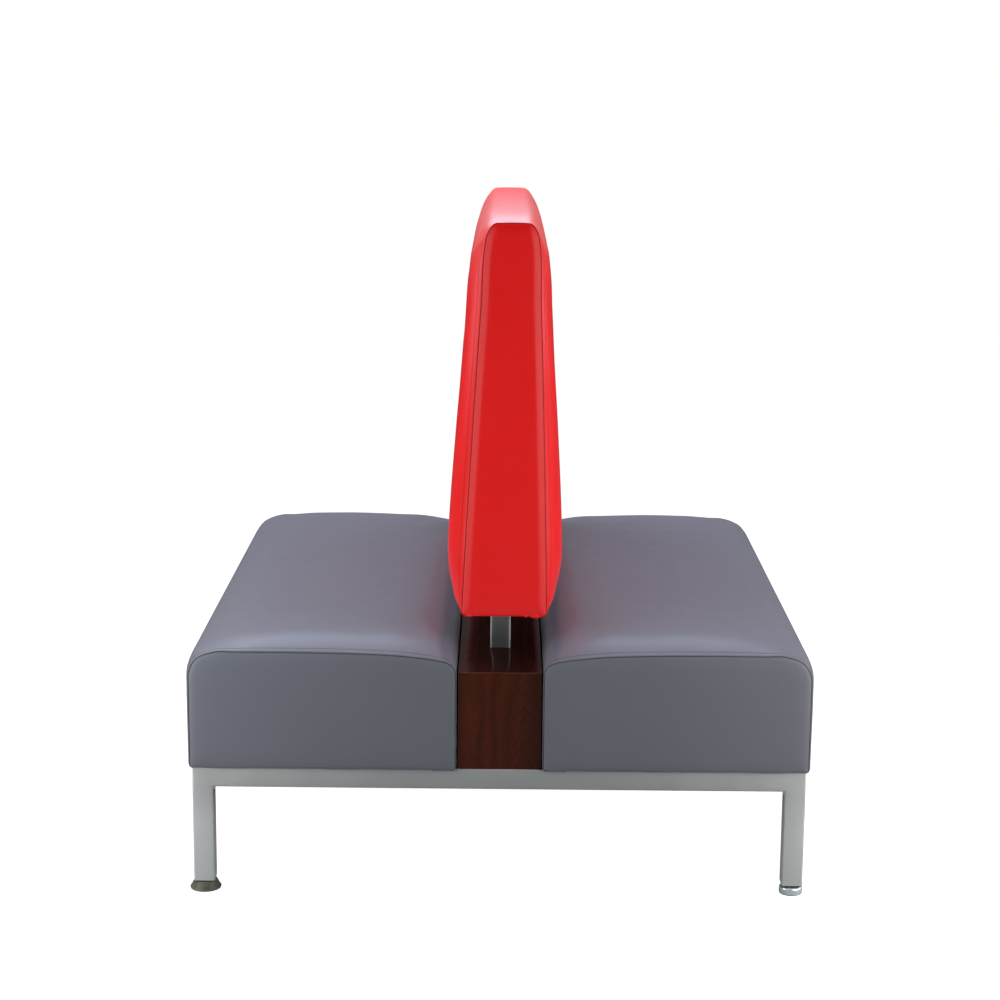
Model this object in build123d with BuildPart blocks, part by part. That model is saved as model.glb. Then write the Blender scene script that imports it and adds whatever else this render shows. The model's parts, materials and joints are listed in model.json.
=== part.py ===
from build123d import *
import os

os.makedirs("parts", exist_ok=True)

# Double-sided booth bench: two box seats back to back on a steel frame, with a timber beam
# between them and one upholstered back standing on two posts above the beam.
# X runs from seat to seat, Y along the bench (near end at -Y), Z up from the floor.
# The origin is on the floor at the middle of the bench. Sizes are in millimetres.

# Square steel tube of the frame
tube = 38.1
tube_wall = 2.1
tube_corner = 3.2
weld_leg = 5.5

# Seats
seat_length = 1219.0
seat_width = 494.0
seat_height = 221.0          # frame top to the seam at the seat's top edge
seat_crown = 13.0            # how far the middle of the top stands above that seam
seat_crest = 190.0           # from the outer side to the highest line of the top
seat_fall = 15.5             # how far the top falls from that line to the inner corner
seat_outer_radius = 50.0
seat_inner_radius = 37.0
crown_reach = 90.0           # from a sewn end to where the crown is full
side_overhang = 8.0          # seat past the frame at the side
end_overhang = 12.0          # seat past the frame at each end
seat_gap = 0.5               # seat to beam
cover_skin = 1.5
hem = 22.0
dust_sheet = 1.0
seat_base_board = 15.0
seat_frame_board = 19.0
seat_frame_height = 104.0
seat_deck_board = 12.0

# Timber beam
beam_width = 152.0
beam_height = 183.0
beam_board = 19.0
beam_setback = 3.0           # beam end behind the face of the end rail
beam_arris = 0.8
block_size = 24.0
block_height = 90.0

# Back
back_gap = 97.0              # beam top to the underside of the back
back_height = 710.0
back_inset = 72.0            # back end behind the seat end
back_foot_half = 77.0        # half thickness at the sewn end, at the bottom
back_head_half = 50.0        # the same at the shoulders
back_corner = 28.0           # depth of the rounded shoulder of the sewn end
back_crown = 10.0            # how far the top stands above the sewn end
back_reach = 70.0            # from a sewn end to where the bulge is full
back_round = 78.0            # depth of the rounded top away from the ends
side_padding = 15.0          # thinnest padding over the back's boards
end_padding = 10.0
top_padding = 25.0
back_board = 9.0
back_rib = 18.0

# Posts and their sockets
post = 38.1
post_wall = 2.1
post_inset = 207.5           # post centre from the seat end
post_reach = 300.0           # post inside the back
post_clearance = 0.3
post_slot = 0.9              # clearance round the post where it leaves the beam
socket_wall = 2.5
socket_flange = 3.0
socket_flange_width = 90.0

# Levelling feet
leg_length = 220.0
plug_flange = 2.0
plug_depth = 26.0
plug_clearance = 0.15
foot_gap = 0.3               # between pieces that move on each other
stem_radius = 5.0
stem_length = 45.0           # of thread above the collar
thread_clearance = 0.1
collar_height = 2.4
collar_flats = 13.0
cup_height = 14.0
cup_wall = 1.5
pad_sole = 1.5
pad_height = 8.5
stem_head_radius = 8.0
stem_head_height = 3.0
cup_radius = 21.5
disc_radius = 28.8
disc_rim = 2.4

# Fasteners
bolt_radius = 4.0
bolt_clearance = 0.25
bolt_head_flats = 13.0
bolt_head = 5.3
insert_radius = 6.0
side_bolt_pitch = 820.0      # along the side rails
end_bolt_offset = 205.0      # from the middle, along the end rails
screw_radius = 2.4
screw_head_radius = 4.6
screw_head = 2.4
screw_bite = 25.0
beam_screw_pitch = 450.0

# Levels and places that follow from the sizes
foot_height = cup_height + foot_gap + collar_height
leg_bottom = foot_height + foot_gap + plug_flange
rail_top = leg_bottom + leg_length
rail_middle = rail_top - tube / 2
rail_bottom = rail_top - tube
seat_inner = beam_width / 2 + seat_gap
seat_outer = seat_inner + seat_width
seat_top = rail_top + seat_height
frame_half_width = seat_outer - side_overhang
frame_half_length = seat_length / 2 - end_overhang
leg_x = frame_half_width - tube / 2
leg_y = frame_half_length - tube / 2
centre_rail_x = beam_width / 2
beam_half_length = frame_half_length - beam_setback
beam_top_level = rail_top + beam_height
back_bottom = beam_top_level + back_gap
back_top = back_bottom + back_height
back_shoulder = back_top - back_corner
back_half_length = seat_length / 2 - back_inset
post_y = seat_length / 2 - post_inset
post_top = back_bottom + post_reach

sides = {"left": -1, "right": 1}
ends = {"near": -1, "far": 1}


def save(builder, label):
    builder.part.label = label
    export_step(builder.part, f"parts/{label}.step")


# Steel frame: four legs, rails between them, all of one square tube
def square_tube(start, direction, length, size=tube, wall=tube_wall, corner=tube_corner, holes=()):
    cross = (0, 1, 0) if direction[0] else (1, 0, 0)
    with BuildPart() as piece:
        with BuildSketch(Plane(origin=start, x_dir=cross, z_dir=direction)):
            RectangleRounded(size, size, corner)
            RectangleRounded(size - 2 * wall, size - 2 * wall, corner - wall * 0.9, mode=Mode.SUBTRACT)
        extrude(amount=length)
        for x, y, radius in holes:
            with Locations((x, y, rail_top)):
                Hole(radius)
    return piece


side_bolt_rows = [-side_bolt_pitch / 2, side_bolt_pitch / 2]
beam_screw_rows = [-beam_screw_pitch, 0.0, beam_screw_pitch]
bolt_hole = bolt_radius + bolt_clearance
screw_x = beam_width / 2 - beam_board / 2

for side, sx in sides.items():
    for end, sy in ends.items():
        leg = square_tube((sx * leg_x, sy * leg_y, leg_bottom), (0, 0, 1), leg_length)
        save(leg, f"{end}_{side}_leg")

    holes = [(sx * leg_x, y, bolt_hole) for y in side_bolt_rows]
    start = (sx * leg_x, -leg_y + tube / 2, rail_middle)
    side_rail = square_tube(start, (0, 1, 0), 2 * leg_y - tube, holes=holes)
    save(side_rail, f"{side}_side_rail")

    holes = [(sx * screw_x, y, screw_radius) for y in beam_screw_rows]
    start = (sx * centre_rail_x, -leg_y + tube / 2, rail_middle)
    centre_rail = square_tube(start, (0, 1, 0), 2 * leg_y - tube, holes=holes)
    save(centre_rail, f"{side}_centre_rail")

for end, sy in ends.items():
    holes = [(sx * end_bolt_offset, sy * leg_y, bolt_hole) for sx in sides.values()]
    start = (-leg_x + tube / 2, sy * leg_y, rail_middle)
    end_rail = square_tube(start, (1, 0, 0), 2 * leg_x - tube, holes=holes)
    save(end_rail, f"{end}_end_rail")

    start = (-centre_rail_x + tube / 2, sy * post_y, rail_middle)
    cross_bar = square_tube(start, (1, 0, 0), 2 * centre_rail_x - tube)
    save(cross_bar, f"{end}_cross_bar")

# Weld beads in the corners under the rails and at the feet of the posts
bead_run = tube - 2 * tube_corner


def bead_corners(across, level, out, up):
    # A triangle in the corner at (across, level), reaching out along one face and up the other
    return [(across, level), (across + out * weld_leg, level), (across, level + up * weld_leg)]


with BuildPart() as frame_welds:
    for sx in sides.values():
        for sy in ends.values():
            with BuildSketch(Plane.XZ.offset(-sy * leg_y)):
                with BuildLine():
                    Polyline(*bead_corners(sx * (leg_x - tube / 2), rail_bottom, -sx, -1), close=True)
                make_face()
            extrude(amount=bead_run / 2, both=True)
            with BuildSketch(Plane.YZ.offset(sx * leg_x)):
                with BuildLine():
                    Polyline(*bead_corners(sy * (leg_y - tube / 2), rail_bottom, -sy, -1), close=True)
                make_face()
            extrude(amount=bead_run / 2, both=True)
            with BuildSketch(Plane.XZ.offset(-sy * post_y)):
                with BuildLine():
                    Polyline(*bead_corners(sx * post / 2, rail_top, sx, 1), close=True)
                make_face()
            extrude(amount=bead_run / 2, both=True)
save(frame_welds, "frame_welds")

# Threaded plugs in the lower ends of the legs
plug_width = tube - 2 * tube_wall - 2 * plug_clearance
plug_rim = tube - tube_corner
with BuildPart() as leg_plugs:
    for sx in sides.values():
        for sy in ends.values():
            with Locations((sx * leg_x, sy * leg_y, leg_bottom)):
                Box(plug_rim, plug_rim, plug_flange, align=(Align.CENTER, Align.CENTER, Align.MAX))
            with BuildSketch(Plane.XY.offset(leg_bottom)):
                with Locations((sx * leg_x, sy * leg_y)):
                    RectangleRounded(plug_width, plug_width, tube_corner)
            extrude(amount=plug_depth)
            with Locations((sx * leg_x, sy * leg_y, leg_bottom + plug_depth)):
                Hole(stem_radius + thread_clearance)
save(leg_plugs, "leg_plugs")


# Levelling feet: a turned cup, a nylon pad under it, and a threaded stem that turns in the cup
def turned(outline, x, y, rounded=(), radius=1.0):
    with BuildPart() as piece:
        with BuildSketch(Plane(origin=(x, y, 0), x_dir=(1, 0, 0), z_dir=(0, -1, 0))) as profile:
            with BuildLine():
                Polyline(*outline, close=True)
            make_face()
            corners = [v for v in profile.vertices() if any((v - Vector(*p)).length < 0.01 for p in rounded)]
            if corners:
                fillet(corners, radius)
        revolve(axis=Axis((x, y, 0), (0, 0, 1)))
    return piece


cup_roof = cup_height - cup_wall
stem_bore = stem_radius + foot_gap
head_bottom = pad_height + foot_gap
head_top = head_bottom + stem_head_height
thread_top = foot_height + foot_gap + stem_length

for side, sx in sides.items():
    for end, sy in ends.items():
        x, y = sx * leg_x, sy * leg_y
        wide = (side, end) == ("left", "near")
        if wide:
            shoulder = stem_head_radius + 2 * cup_wall
            outer = [(disc_radius, pad_sole), (disc_radius, pad_sole + disc_rim), (shoulder, cup_height)]
            inner = [(shoulder - cup_wall, cup_roof), (disc_radius - 2 * cup_wall, pad_sole)]
            soft = [(disc_radius, pad_sole + disc_rim)]
        else:
            outer = [(cup_radius, pad_sole), (cup_radius, cup_height)]
            inner = [(cup_radius - cup_wall, cup_roof), (cup_radius - cup_wall, pad_sole)]
            soft = [(cup_radius, cup_height)]
        roof = [(stem_bore, cup_height), (stem_bore, cup_roof)]
        cup = turned(outer + roof + inner, x, y)
        save(cup, f"{end}_{side}_foot_cup")

        sole = (disc_radius if wide else cup_radius) - 0.5 * cup_wall
        core = stem_head_radius + cup_wall if wide else cup_radius - cup_wall
        pad = turned(
            [(0, 0), (sole, 0), (sole, pad_sole), (core, pad_sole), (core, pad_height), (0, pad_height)], x, y
        )
        save(pad, f"{end}_{side}_foot_pad")

        with BuildPart() as stem:
            with Locations((x, y, head_bottom)):
                Cylinder(stem_head_radius, stem_head_height, align=(Align.CENTER, Align.CENTER, Align.MIN))
                Cylinder(stem_radius, thread_top - head_bottom, align=(Align.CENTER, Align.CENTER, Align.MIN))
            with BuildSketch(Plane.XY.offset(cup_height + foot_gap)):
                with Locations((x, y)):
                    RegularPolygon(collar_flats / 2, 6, major_radius=False)
            extrude(amount=collar_height)
        save(stem, f"{end}_{side}_foot_stem")


# Seats: a timber box on a base board, a deck over it and a foam block, all inside one sewn cover.
# The section starts at the outer side and goes over the top to the inner side.
def seat_section(sx, y, share, skin):
    outer = seat_outer - skin
    inner = seat_inner + skin
    low = rail_top + skin
    top = seat_top - skin
    lift = seat_crown * share
    outer_radius = seat_outer_radius - skin
    inner_radius = seat_inner_radius - skin
    inner_level = top - seat_fall + lift
    with BuildSketch(Plane.XZ.offset(-y)) as section:
        with BuildLine():
            side_line = Line((sx * outer, low), (sx * outer, top - outer_radius))
            shoulder = (sx * (outer - outer_radius), top + 0.12 * lift)
            outer_bend = TangentArc(side_line @ 1, shoulder, tangent=(0, 1))
            rise = (sx * (outer - 1.8 * outer_radius), top + 0.7 * lift)
            crest = (sx * (seat_outer - seat_crest), top + lift)
            inner_shoulder = (sx * (inner + inner_radius), inner_level)
            top_line = Spline(shoulder, rise, crest, inner_shoulder)
            fall = (sx * inner, inner_level - inner_radius)
            inner_bend = Spline(inner_shoulder, fall, tangents=[top_line % 1, (0, -1)])
            Line(inner_bend @ 1, (sx * inner, low))
            Line((sx * inner, low), side_line @ 0)
        make_face()
    return section.sketch


def stations(half_length, reach, steps):
    # Places along the bench with the share of the crown at each: none at a sewn end, all inside
    near = [(-half_length + reach * run, share) for run, share in steps]
    return near + [(-y, share) for y, share in reversed(near)]


crown_steps = ((0.0, 0.0), (0.22, 0.45), (0.55, 0.8), (1.0, 1.0))
seat_half_length = seat_length / 2
deck_level = rail_top + cover_skin + seat_base_board + seat_frame_height + seat_deck_board
bolt_places = [(sx * leg_x, y) for sx in sides.values() for y in side_bolt_rows]
bolt_places += [(sx * end_bolt_offset, sy * leg_y) for sx in sides.values() for sy in ends.values()]

for side, sx in sides.items():
    middle_x = sx * (seat_inner + seat_outer) / 2
    inside_width = seat_width - 2 * cover_skin
    inside_length = seat_length - 2 * cover_skin
    skin_sections = [
        seat_section(sx, y, share, 0.0) for y, share in stations(seat_half_length, crown_reach, crown_steps)
    ]
    core_sections = [
        seat_section(sx, y, share, cover_skin)
        for y, share in stations(seat_half_length - cover_skin, crown_reach, crown_steps)
    ]

    with BuildPart() as seat_cover:
        loft(sections=skin_sections, ruled=True)
        loft(sections=core_sections, ruled=True, mode=Mode.SUBTRACT)
        with Locations((middle_x, 0, rail_top)):
            Box(seat_width - 2 * hem, seat_length - 2 * hem, 4 * cover_skin, mode=Mode.SUBTRACT)
    save(seat_cover, f"{side}_seat_cover")

    with BuildPart() as seat_foam:
        loft(sections=core_sections, ruled=True)
        with Locations((middle_x, 0, deck_level)):
            Box(
                2 * seat_width, 2 * seat_length, seat_height,
                align=(Align.CENTER, Align.CENTER, Align.MAX), mode=Mode.SUBTRACT,
            )
    save(seat_foam, f"{side}_seat_foam")

    base_level = rail_top + cover_skin
    with BuildPart() as seat_base:
        with Locations((middle_x, 0, base_level)):
            Box(inside_width, inside_length, seat_base_board, align=(Align.CENTER, Align.CENTER, Align.MIN))
        for x, y in bolt_places:
            with Locations((x, y, base_level + seat_base_board)):
                Cylinder(
                    insert_radius, seat_base_board,
                    align=(Align.CENTER, Align.CENTER, Align.MAX), mode=Mode.SUBTRACT,
                )
    save(seat_base, f"{side}_seat_base")

    frame_level = base_level + seat_base_board
    with BuildPart() as seat_frame:
        with Locations((middle_x, 0, frame_level)):
            for edge in (-1, 1):
                with Locations((edge * (inside_width - seat_frame_board) / 2, 0, 0)):
                    Box(
                        seat_frame_board, inside_length, seat_frame_height,
                        align=(Align.CENTER, Align.CENTER, Align.MIN),
                    )
        cross_length = inside_width - 2 * seat_frame_board
        for y in (-(inside_length - seat_frame_board) / 2, 0, (inside_length - seat_frame_board) / 2):
            with BuildSketch(Plane.XY.offset(frame_level)):
                with Locations((middle_x, y)):
                    Rectangle(cross_length, seat_frame_board)
            extrude(amount=seat_frame_height, clean=False)
    save(seat_frame, f"{side}_seat_frame")

    with BuildPart() as seat_deck:
        with Locations((middle_x, 0, deck_level)):
            Box(inside_width, inside_length, seat_deck_board, align=(Align.CENTER, Align.CENTER, Align.MAX))
    save(seat_deck, f"{side}_seat_deck")

# Bolts up through the rails into threaded inserts in the seat bases
bolt_top = rail_top + cover_skin + seat_base_board
with BuildPart() as seat_bolts:
    with BuildSketch(Plane.XY.offset(rail_bottom)):
        with Locations(*bolt_places):
            RegularPolygon(bolt_head_flats / 2, 6, major_radius=False)
    extrude(amount=-bolt_head)
    with BuildSketch(Plane.XY.offset(rail_bottom)):
        with Locations(*bolt_places):
            Circle(bolt_radius)
    extrude(amount=bolt_top - rail_bottom)
save(seat_bolts, "seat_bolts")

with BuildPart() as seat_inserts:
    with BuildSketch(Plane.XY.offset(rail_top + cover_skin)):
        with Locations(*bolt_places):
            Circle(insert_radius)
            Circle(bolt_radius + thread_clearance, mode=Mode.SUBTRACT)
    extrude(amount=seat_base_board)
save(seat_inserts, "seat_inserts")

# Timber beam: top and end panels meet in mitres, side panels stand inside them
with BuildPart() as beam_top:
    with BuildSketch(Plane.YZ):
        with BuildLine():
            Polyline(
                (-beam_half_length, beam_top_level),
                (beam_half_length, beam_top_level),
                (beam_half_length - beam_board, beam_top_level - beam_board),
                (-beam_half_length + beam_board, beam_top_level - beam_board),
                close=True,
            )
        make_face()
    extrude(amount=beam_width / 2, both=True)
    upper = beam_top.faces().sort_by(Axis.Z)[-1]
    chamfer(upper.edges().filter_by(Axis.X), beam_arris / 2)
    with Locations((0, -post_y, beam_top_level), (0, post_y, beam_top_level)):
        slot = post + 2 * post_slot
        Box(slot, slot, 4 * beam_board, mode=Mode.SUBTRACT)
save(beam_top, "beam_top")

for end, sy in ends.items():
    with BuildPart() as beam_end:
        with BuildSketch(Plane.YZ):
            with BuildLine():
                Polyline(
                    (sy * beam_half_length, rail_top),
                    (sy * beam_half_length, beam_top_level),
                    (sy * (beam_half_length - beam_board), beam_top_level - beam_board),
                    (sy * (beam_half_length - beam_board), rail_top),
                    close=True,
                )
            make_face()
        extrude(amount=beam_width / 2, both=True)
        outside = beam_end.faces().sort_by(Axis.Y)[0 if sy < 0 else -1]
        chamfer(outside.edges().filter_by(Axis.X).sort_by(Axis.Z)[-1], beam_arris / 2)
    save(beam_end, f"beam_{end}_end")

side_board_length = 2 * (beam_half_length - beam_board)
side_board_height = beam_height - beam_board
for side, sx in sides.items():
    with BuildPart() as beam_side:
        with Locations((sx * screw_x, 0, rail_top)):
            Box(
                beam_board, side_board_length, side_board_height,
                align=(Align.CENTER, Align.CENTER, Align.MIN),
            )
        with Locations(*[(sx * screw_x, y, rail_top + screw_bite / 2) for y in beam_screw_rows]):
            Cylinder(screw_radius, screw_bite, mode=Mode.SUBTRACT)
    save(beam_side, f"beam_{side}_side")

with BuildPart() as beam_blocks:
    block_x = beam_width / 2 - beam_board - block_size / 2
    block_y = beam_half_length - beam_board - block_size / 2
    for level in (rail_top + block_height / 2, beam_top_level - beam_board - block_size / 2):
        height = block_height if level < rail_top + block_height else block_size
        with Locations(*[(sx * block_x, sy * block_y, level) for sx in (-1, 1) for sy in (-1, 1)]):
            Box(block_size, block_size, height)
save(beam_blocks, "beam_blocks")

with BuildPart() as beam_screws:
    for sx in sides.values():
        for y in beam_screw_rows:
            with Locations((sx * screw_x, y, rail_bottom)):
                Cylinder(screw_head_radius, screw_head, align=(Align.CENTER, Align.CENTER, Align.MAX))
                Cylinder(screw_radius, tube + screw_bite, align=(Align.CENTER, Align.CENTER, Align.MIN))
save(beam_screws, "beam_screws")

# Posts stand on the cross bars, pass through the beam and reach up into the back
for end, sy in ends.items():
    upright = square_tube((0, sy * post_y, rail_top), (0, 0, 1), post_top - rail_top, post, post_wall)
    save(upright, f"{end}_post")


# Back: a timber box with sockets for the posts, padded and covered.
# Half thickness of the sewn end, a straight taper from the bottom to the shoulders
def end_half(level):
    rise = (level - back_bottom) / (back_shoulder - back_bottom)
    return back_foot_half + (back_head_half - back_foot_half) * rise


# Away from the sewn ends the sides bulge past that taper: height above the bottom, bulge there.
# They swell from the foot to the knee and run straight from there to the shoulder.
bulge_points = ((0.0, 4.5), (45.0, 21.0), (105.0, 32.5), (200.0, 33.0))
bulge_at_head = 21.0


def back_section(y, share, skin):
    shoulder_level = back_shoulder - (back_round - back_corner) * share
    shoulder_half = end_half(shoulder_level) + bulge_at_head * share - skin
    crest_level = back_top + back_crown * share - skin
    crest_half = (back_head_half - back_corner) * (1 - 0.6 * share)
    flank = [
        (end_half(back_bottom + rise) + bulge * share - skin, back_bottom + rise)
        for rise, bulge in bulge_points
    ]
    foot = (flank[0][0], back_bottom + skin)
    knee = flank[-1]
    slope = (shoulder_half - knee[0], shoulder_level - knee[1])
    with BuildSketch(Plane.XZ.offset(-y)) as section:
        with BuildLine():
            swell = Spline(foot, *flank[1:], tangents=[(flank[1][0] - foot[0], flank[1][1] - foot[1]), slope])
            straight = Line(knee, (shoulder_half, shoulder_level))
            corner = Spline(straight @ 1, (crest_half, crest_level), tangents=[slope, (-1, 0)])
            Line((crest_half, crest_level), (-crest_half, crest_level))
            for edge in (swell, straight, corner):
                mirror(edge, about=Plane.YZ)
            Line((-foot[0], foot[1]), foot)
        make_face()
    return section.sketch


bulge_steps = ((0.0, 0.0), (0.25, 0.48), (0.55, 0.82), (1.0, 1.0))
back_skin_sections = [
    back_section(y, share, 0.0) for y, share in stations(back_half_length, back_reach, bulge_steps)
]
back_core_sections = [
    back_section(y, share, cover_skin)
    for y, share in stations(back_half_length - cover_skin, back_reach, bulge_steps)
]

# The box: boards on both sides, a rib at each end, a rail at the top and one at the bottom
box_bottom = back_bottom + cover_skin
box_top = back_top - top_padding
box_half_length = back_half_length - end_padding
box_low_half = end_half(box_bottom) - side_padding
box_high_half = end_half(box_top) - side_padding
post_hole = post + 2 * post_clearance + 2 * socket_wall


def box_half(level):
    return box_low_half + (box_high_half - box_low_half) * (level - box_bottom) / (box_top - box_bottom)


with BuildPart() as back_cover:
    loft(sections=back_skin_sections, ruled=True)
    loft(sections=back_core_sections, ruled=True, mode=Mode.SUBTRACT)
    with Locations((0, 0, back_bottom)):
        Box(2 * (back_foot_half - hem), 2 * (back_half_length - hem), 4 * cover_skin, mode=Mode.SUBTRACT)
save(back_cover, "back_cover")

for side, sx in sides.items():
    with BuildPart() as back_foam:
        loft(sections=back_core_sections, ruled=True)
        with BuildSketch(Plane.XZ):
            with BuildLine():
                Polyline(
                    (-box_low_half, box_bottom - hem),
                    (-box_low_half, box_bottom),
                    (-box_high_half, box_top),
                    (box_high_half, box_top),
                    (box_low_half, box_bottom),
                    (box_low_half, box_bottom - hem),
                    close=True,
                )
            make_face()
        extrude(amount=box_half_length, both=True, mode=Mode.SUBTRACT)
        split(bisect_by=Plane.YZ, keep=Keep.TOP if sx > 0 else Keep.BOTTOM)
    save(back_foam, f"back_{side}_foam")

    with BuildPart() as back_side_board:
        with BuildSketch(Plane.XZ):
            with BuildLine():
                Polyline(
                    (sx * box_low_half, box_bottom),
                    (sx * box_high_half, box_top),
                    (sx * (box_high_half - back_board), box_top),
                    (sx * (box_low_half - back_board), box_bottom),
                    close=True,
                )
            make_face()
        extrude(amount=box_half_length, both=True)
    save(back_side_board, f"back_{side}_board")

for end, sy in ends.items():
    with BuildPart() as rib:
        with BuildSketch(Plane.XZ.offset(-sy * (box_half_length - back_rib / 2))):
            with BuildLine():
                Polyline(
                    (-box_low_half + back_board, box_bottom),
                    (-box_high_half + back_board, box_top),
                    (box_high_half - back_board, box_top),
                    (box_low_half - back_board, box_bottom),
                    close=True,
                )
            make_face()
        extrude(amount=back_rib / 2, both=True)
    save(rib, f"back_{end}_rib")

for name, low in (("bottom", box_bottom + socket_flange), ("top", box_top - back_rib)):
    with BuildPart() as back_rail:
        with BuildSketch(Plane.XZ):
            with BuildLine():
                Polyline(
                    (-box_half(low) + back_board, low),
                    (-box_half(low + back_rib) + back_board, low + back_rib),
                    (box_half(low + back_rib) - back_board, low + back_rib),
                    (box_half(low) - back_board, low),
                    close=True,
                )
            make_face()
        extrude(amount=box_half_length - back_rib, both=True)
        if name == "bottom":
            with Locations((0, -post_y, low), (0, post_y, low)):
                Box(post_hole, post_hole, 4 * back_rib, mode=Mode.SUBTRACT)
    save(back_rail, f"back_{name}_rail")

# Sockets: square sleeves for the posts, each with a flange screwed up into the bottom rail
flange_across = 2 * (box_low_half - back_board) - 4 * post_clearance
flange_screw_y = (socket_flange_width + post_hole) / 4
flange_screw_x = flange_across / 2 - 2 * screw_head_radius
with BuildPart() as back_sockets:
    with BuildSketch(Plane.XY.offset(box_bottom)):
        with Locations((0, -post_y), (0, post_y)):
            Rectangle(flange_across, socket_flange_width)
            Rectangle(post + 2 * post_clearance, post + 2 * post_clearance, mode=Mode.SUBTRACT)
    extrude(amount=socket_flange)
    with BuildSketch(Plane.XY.offset(box_bottom)):
        with Locations((0, -post_y), (0, post_y)):
            Rectangle(post_hole, post_hole)
            Rectangle(post + 2 * post_clearance, post + 2 * post_clearance, mode=Mode.SUBTRACT)
    extrude(amount=post_top - box_bottom)
save(back_sockets, "back_sockets")

screw_places = [
    (x * flange_screw_x, sy * post_y + y * flange_screw_y)
    for sy in ends.values() for x in (-1, 1) for y in (-1, 1)
]
with BuildPart() as socket_screws:
    with Locations(*[(x, y, box_bottom) for x, y in screw_places]):
        Cylinder(screw_head_radius, screw_head / 2, align=(Align.CENTER, Align.CENTER, Align.MAX))
save(socket_screws, "socket_screws")

# Thin black sheets that close the undersides of both seats
with BuildPart() as dust_covers:
    for sx in sides.values():
        with Locations((sx * (seat_inner + seat_outer) / 2, 0, rail_top)):
            Box(
                seat_width - 2 * hem, seat_length - 2 * hem, dust_sheet,
                align=(Align.CENTER, Align.CENTER, Align.MIN),
            )
    with Locations(*[(x, y, rail_top) for x, y in bolt_places]):
        Cylinder(bolt_radius + bolt_clearance, 4 * dust_sheet, mode=Mode.SUBTRACT)
save(dust_covers, "dust_covers")
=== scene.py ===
import bpy
import bmesh
import json
import math
import numpy as np
from mathutils import Matrix, Vector, noise
from mathutils.kdtree import KDTree


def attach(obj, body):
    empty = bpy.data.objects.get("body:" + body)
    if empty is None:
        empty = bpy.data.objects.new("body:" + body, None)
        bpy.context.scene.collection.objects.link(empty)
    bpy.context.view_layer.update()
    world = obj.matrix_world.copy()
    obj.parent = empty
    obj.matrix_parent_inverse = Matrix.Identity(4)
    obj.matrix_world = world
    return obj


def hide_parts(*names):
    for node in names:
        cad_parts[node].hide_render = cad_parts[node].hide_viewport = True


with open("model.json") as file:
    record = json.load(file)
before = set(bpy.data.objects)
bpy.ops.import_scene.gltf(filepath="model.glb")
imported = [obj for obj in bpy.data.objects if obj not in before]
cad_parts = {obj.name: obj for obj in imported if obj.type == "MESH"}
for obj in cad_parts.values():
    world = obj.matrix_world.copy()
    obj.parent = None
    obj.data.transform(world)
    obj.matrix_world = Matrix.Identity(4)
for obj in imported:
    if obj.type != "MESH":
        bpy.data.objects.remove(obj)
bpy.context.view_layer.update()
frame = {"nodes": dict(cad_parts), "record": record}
nodes = frame["nodes"]
scene = bpy.context.scene
print("booth bench: frame loaded with", len(nodes), "nodes")


def addNode(tree, kind, values=None, **settings):
    node = tree.nodes.new(kind)
    for name, value in settings.items():
        setattr(node, name, value)
    for name, value in (values or {}).items():
        node.inputs[name].default_value = value
    return node


def joinNodes(tree, *pairs):
    for start, end in pairs:
        tree.links.new(start, end)


# Studio: camera, bright room, softboxes and a pale floor
cameraStyle = {
    "place": (0.00420, -4.37694, 1.50805), "yaw": -0.00184, "pitch": 0.19986, "roll": 0.00885, "lens": 77.84,
    "sensor": 36, "reach": 200,
}


def addCamera(style):
    sy, cy = math.sin(style["yaw"]), math.cos(style["yaw"])
    sp, cp = math.sin(style["pitch"]), math.cos(style["pitch"])
    sr, cr = math.sin(style["roll"]), math.cos(style["roll"])
    ahead = Vector((sy * cp, cy * cp, -sp))
    right = Vector((cy, -sy, 0))
    up = right.cross(ahead)
    turned = Matrix((cr * right + sr * up, cr * up - sr * right, -ahead)).transposed()
    lens = bpy.data.cameras.new("studioCamera")
    lens.lens = style["lens"]
    lens.sensor_width = style["sensor"]
    lens.clip_end = style["reach"]
    camera = bpy.data.objects.new("studioCamera", lens)
    camera.matrix_world = Matrix.Translation(style["place"]) @ turned.to_4x4()
    scene.collection.objects.link(camera)
    scene.camera = camera


addCamera(cameraStyle)
scene.view_settings.view_transform = "Standard"

roomStyle = {
    "front": 0.005, "back": 0.34, "above": 0.01,
    "backFrom": -0.75, "backTo": 0.15, "aboveFrom": 0.50, "aboveTo": 0.95,
}


def lightRoom(style):
    # Light comes from behind, less from above, hardly any from the camera's side; seen directly, all is white
    world = bpy.data.worlds.new("studioRoom")
    scene.world = world
    world.use_nodes = True
    tree = world.node_tree
    shade = tree.nodes["Background"]
    place = addNode(tree, "ShaderNodeTexCoord")
    split = addNode(tree, "ShaderNodeSeparateXYZ")
    behind = addNode(tree, "ShaderNodeMapRange", {
        "From Min": style["backFrom"], "From Max": style["backTo"],
        "To Min": style["front"], "To Max": style["back"]}, interpolation_type="SMOOTHSTEP")
    high = addNode(tree, "ShaderNodeMapRange", {
        "From Min": style["aboveFrom"], "From Max": style["aboveTo"]}, interpolation_type="SMOOTHSTEP")
    level = addNode(tree, "ShaderNodeMix", {"B": style["above"]}, data_type="FLOAT")
    path = addNode(tree, "ShaderNodeLightPath")
    seen = addNode(tree, "ShaderNodeMix", {"B": 1.0}, data_type="FLOAT")
    shade.inputs["Color"].default_value = (1, 1, 1, 1)
    joinNodes(
        tree, (place.outputs["Generated"], split.inputs[0]), (split.outputs["Y"], behind.inputs["Value"]),
        (split.outputs["Z"], high.inputs["Value"]), (high.outputs[0], level.inputs["Factor"]),
        (behind.outputs[0], level.inputs["A"]), (path.outputs["Is Camera Ray"], seen.inputs["Factor"]),
        (level.outputs[0], seen.inputs["A"]), (seen.outputs[0], shade.inputs["Strength"]))


lightRoom(roomStyle)

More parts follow.
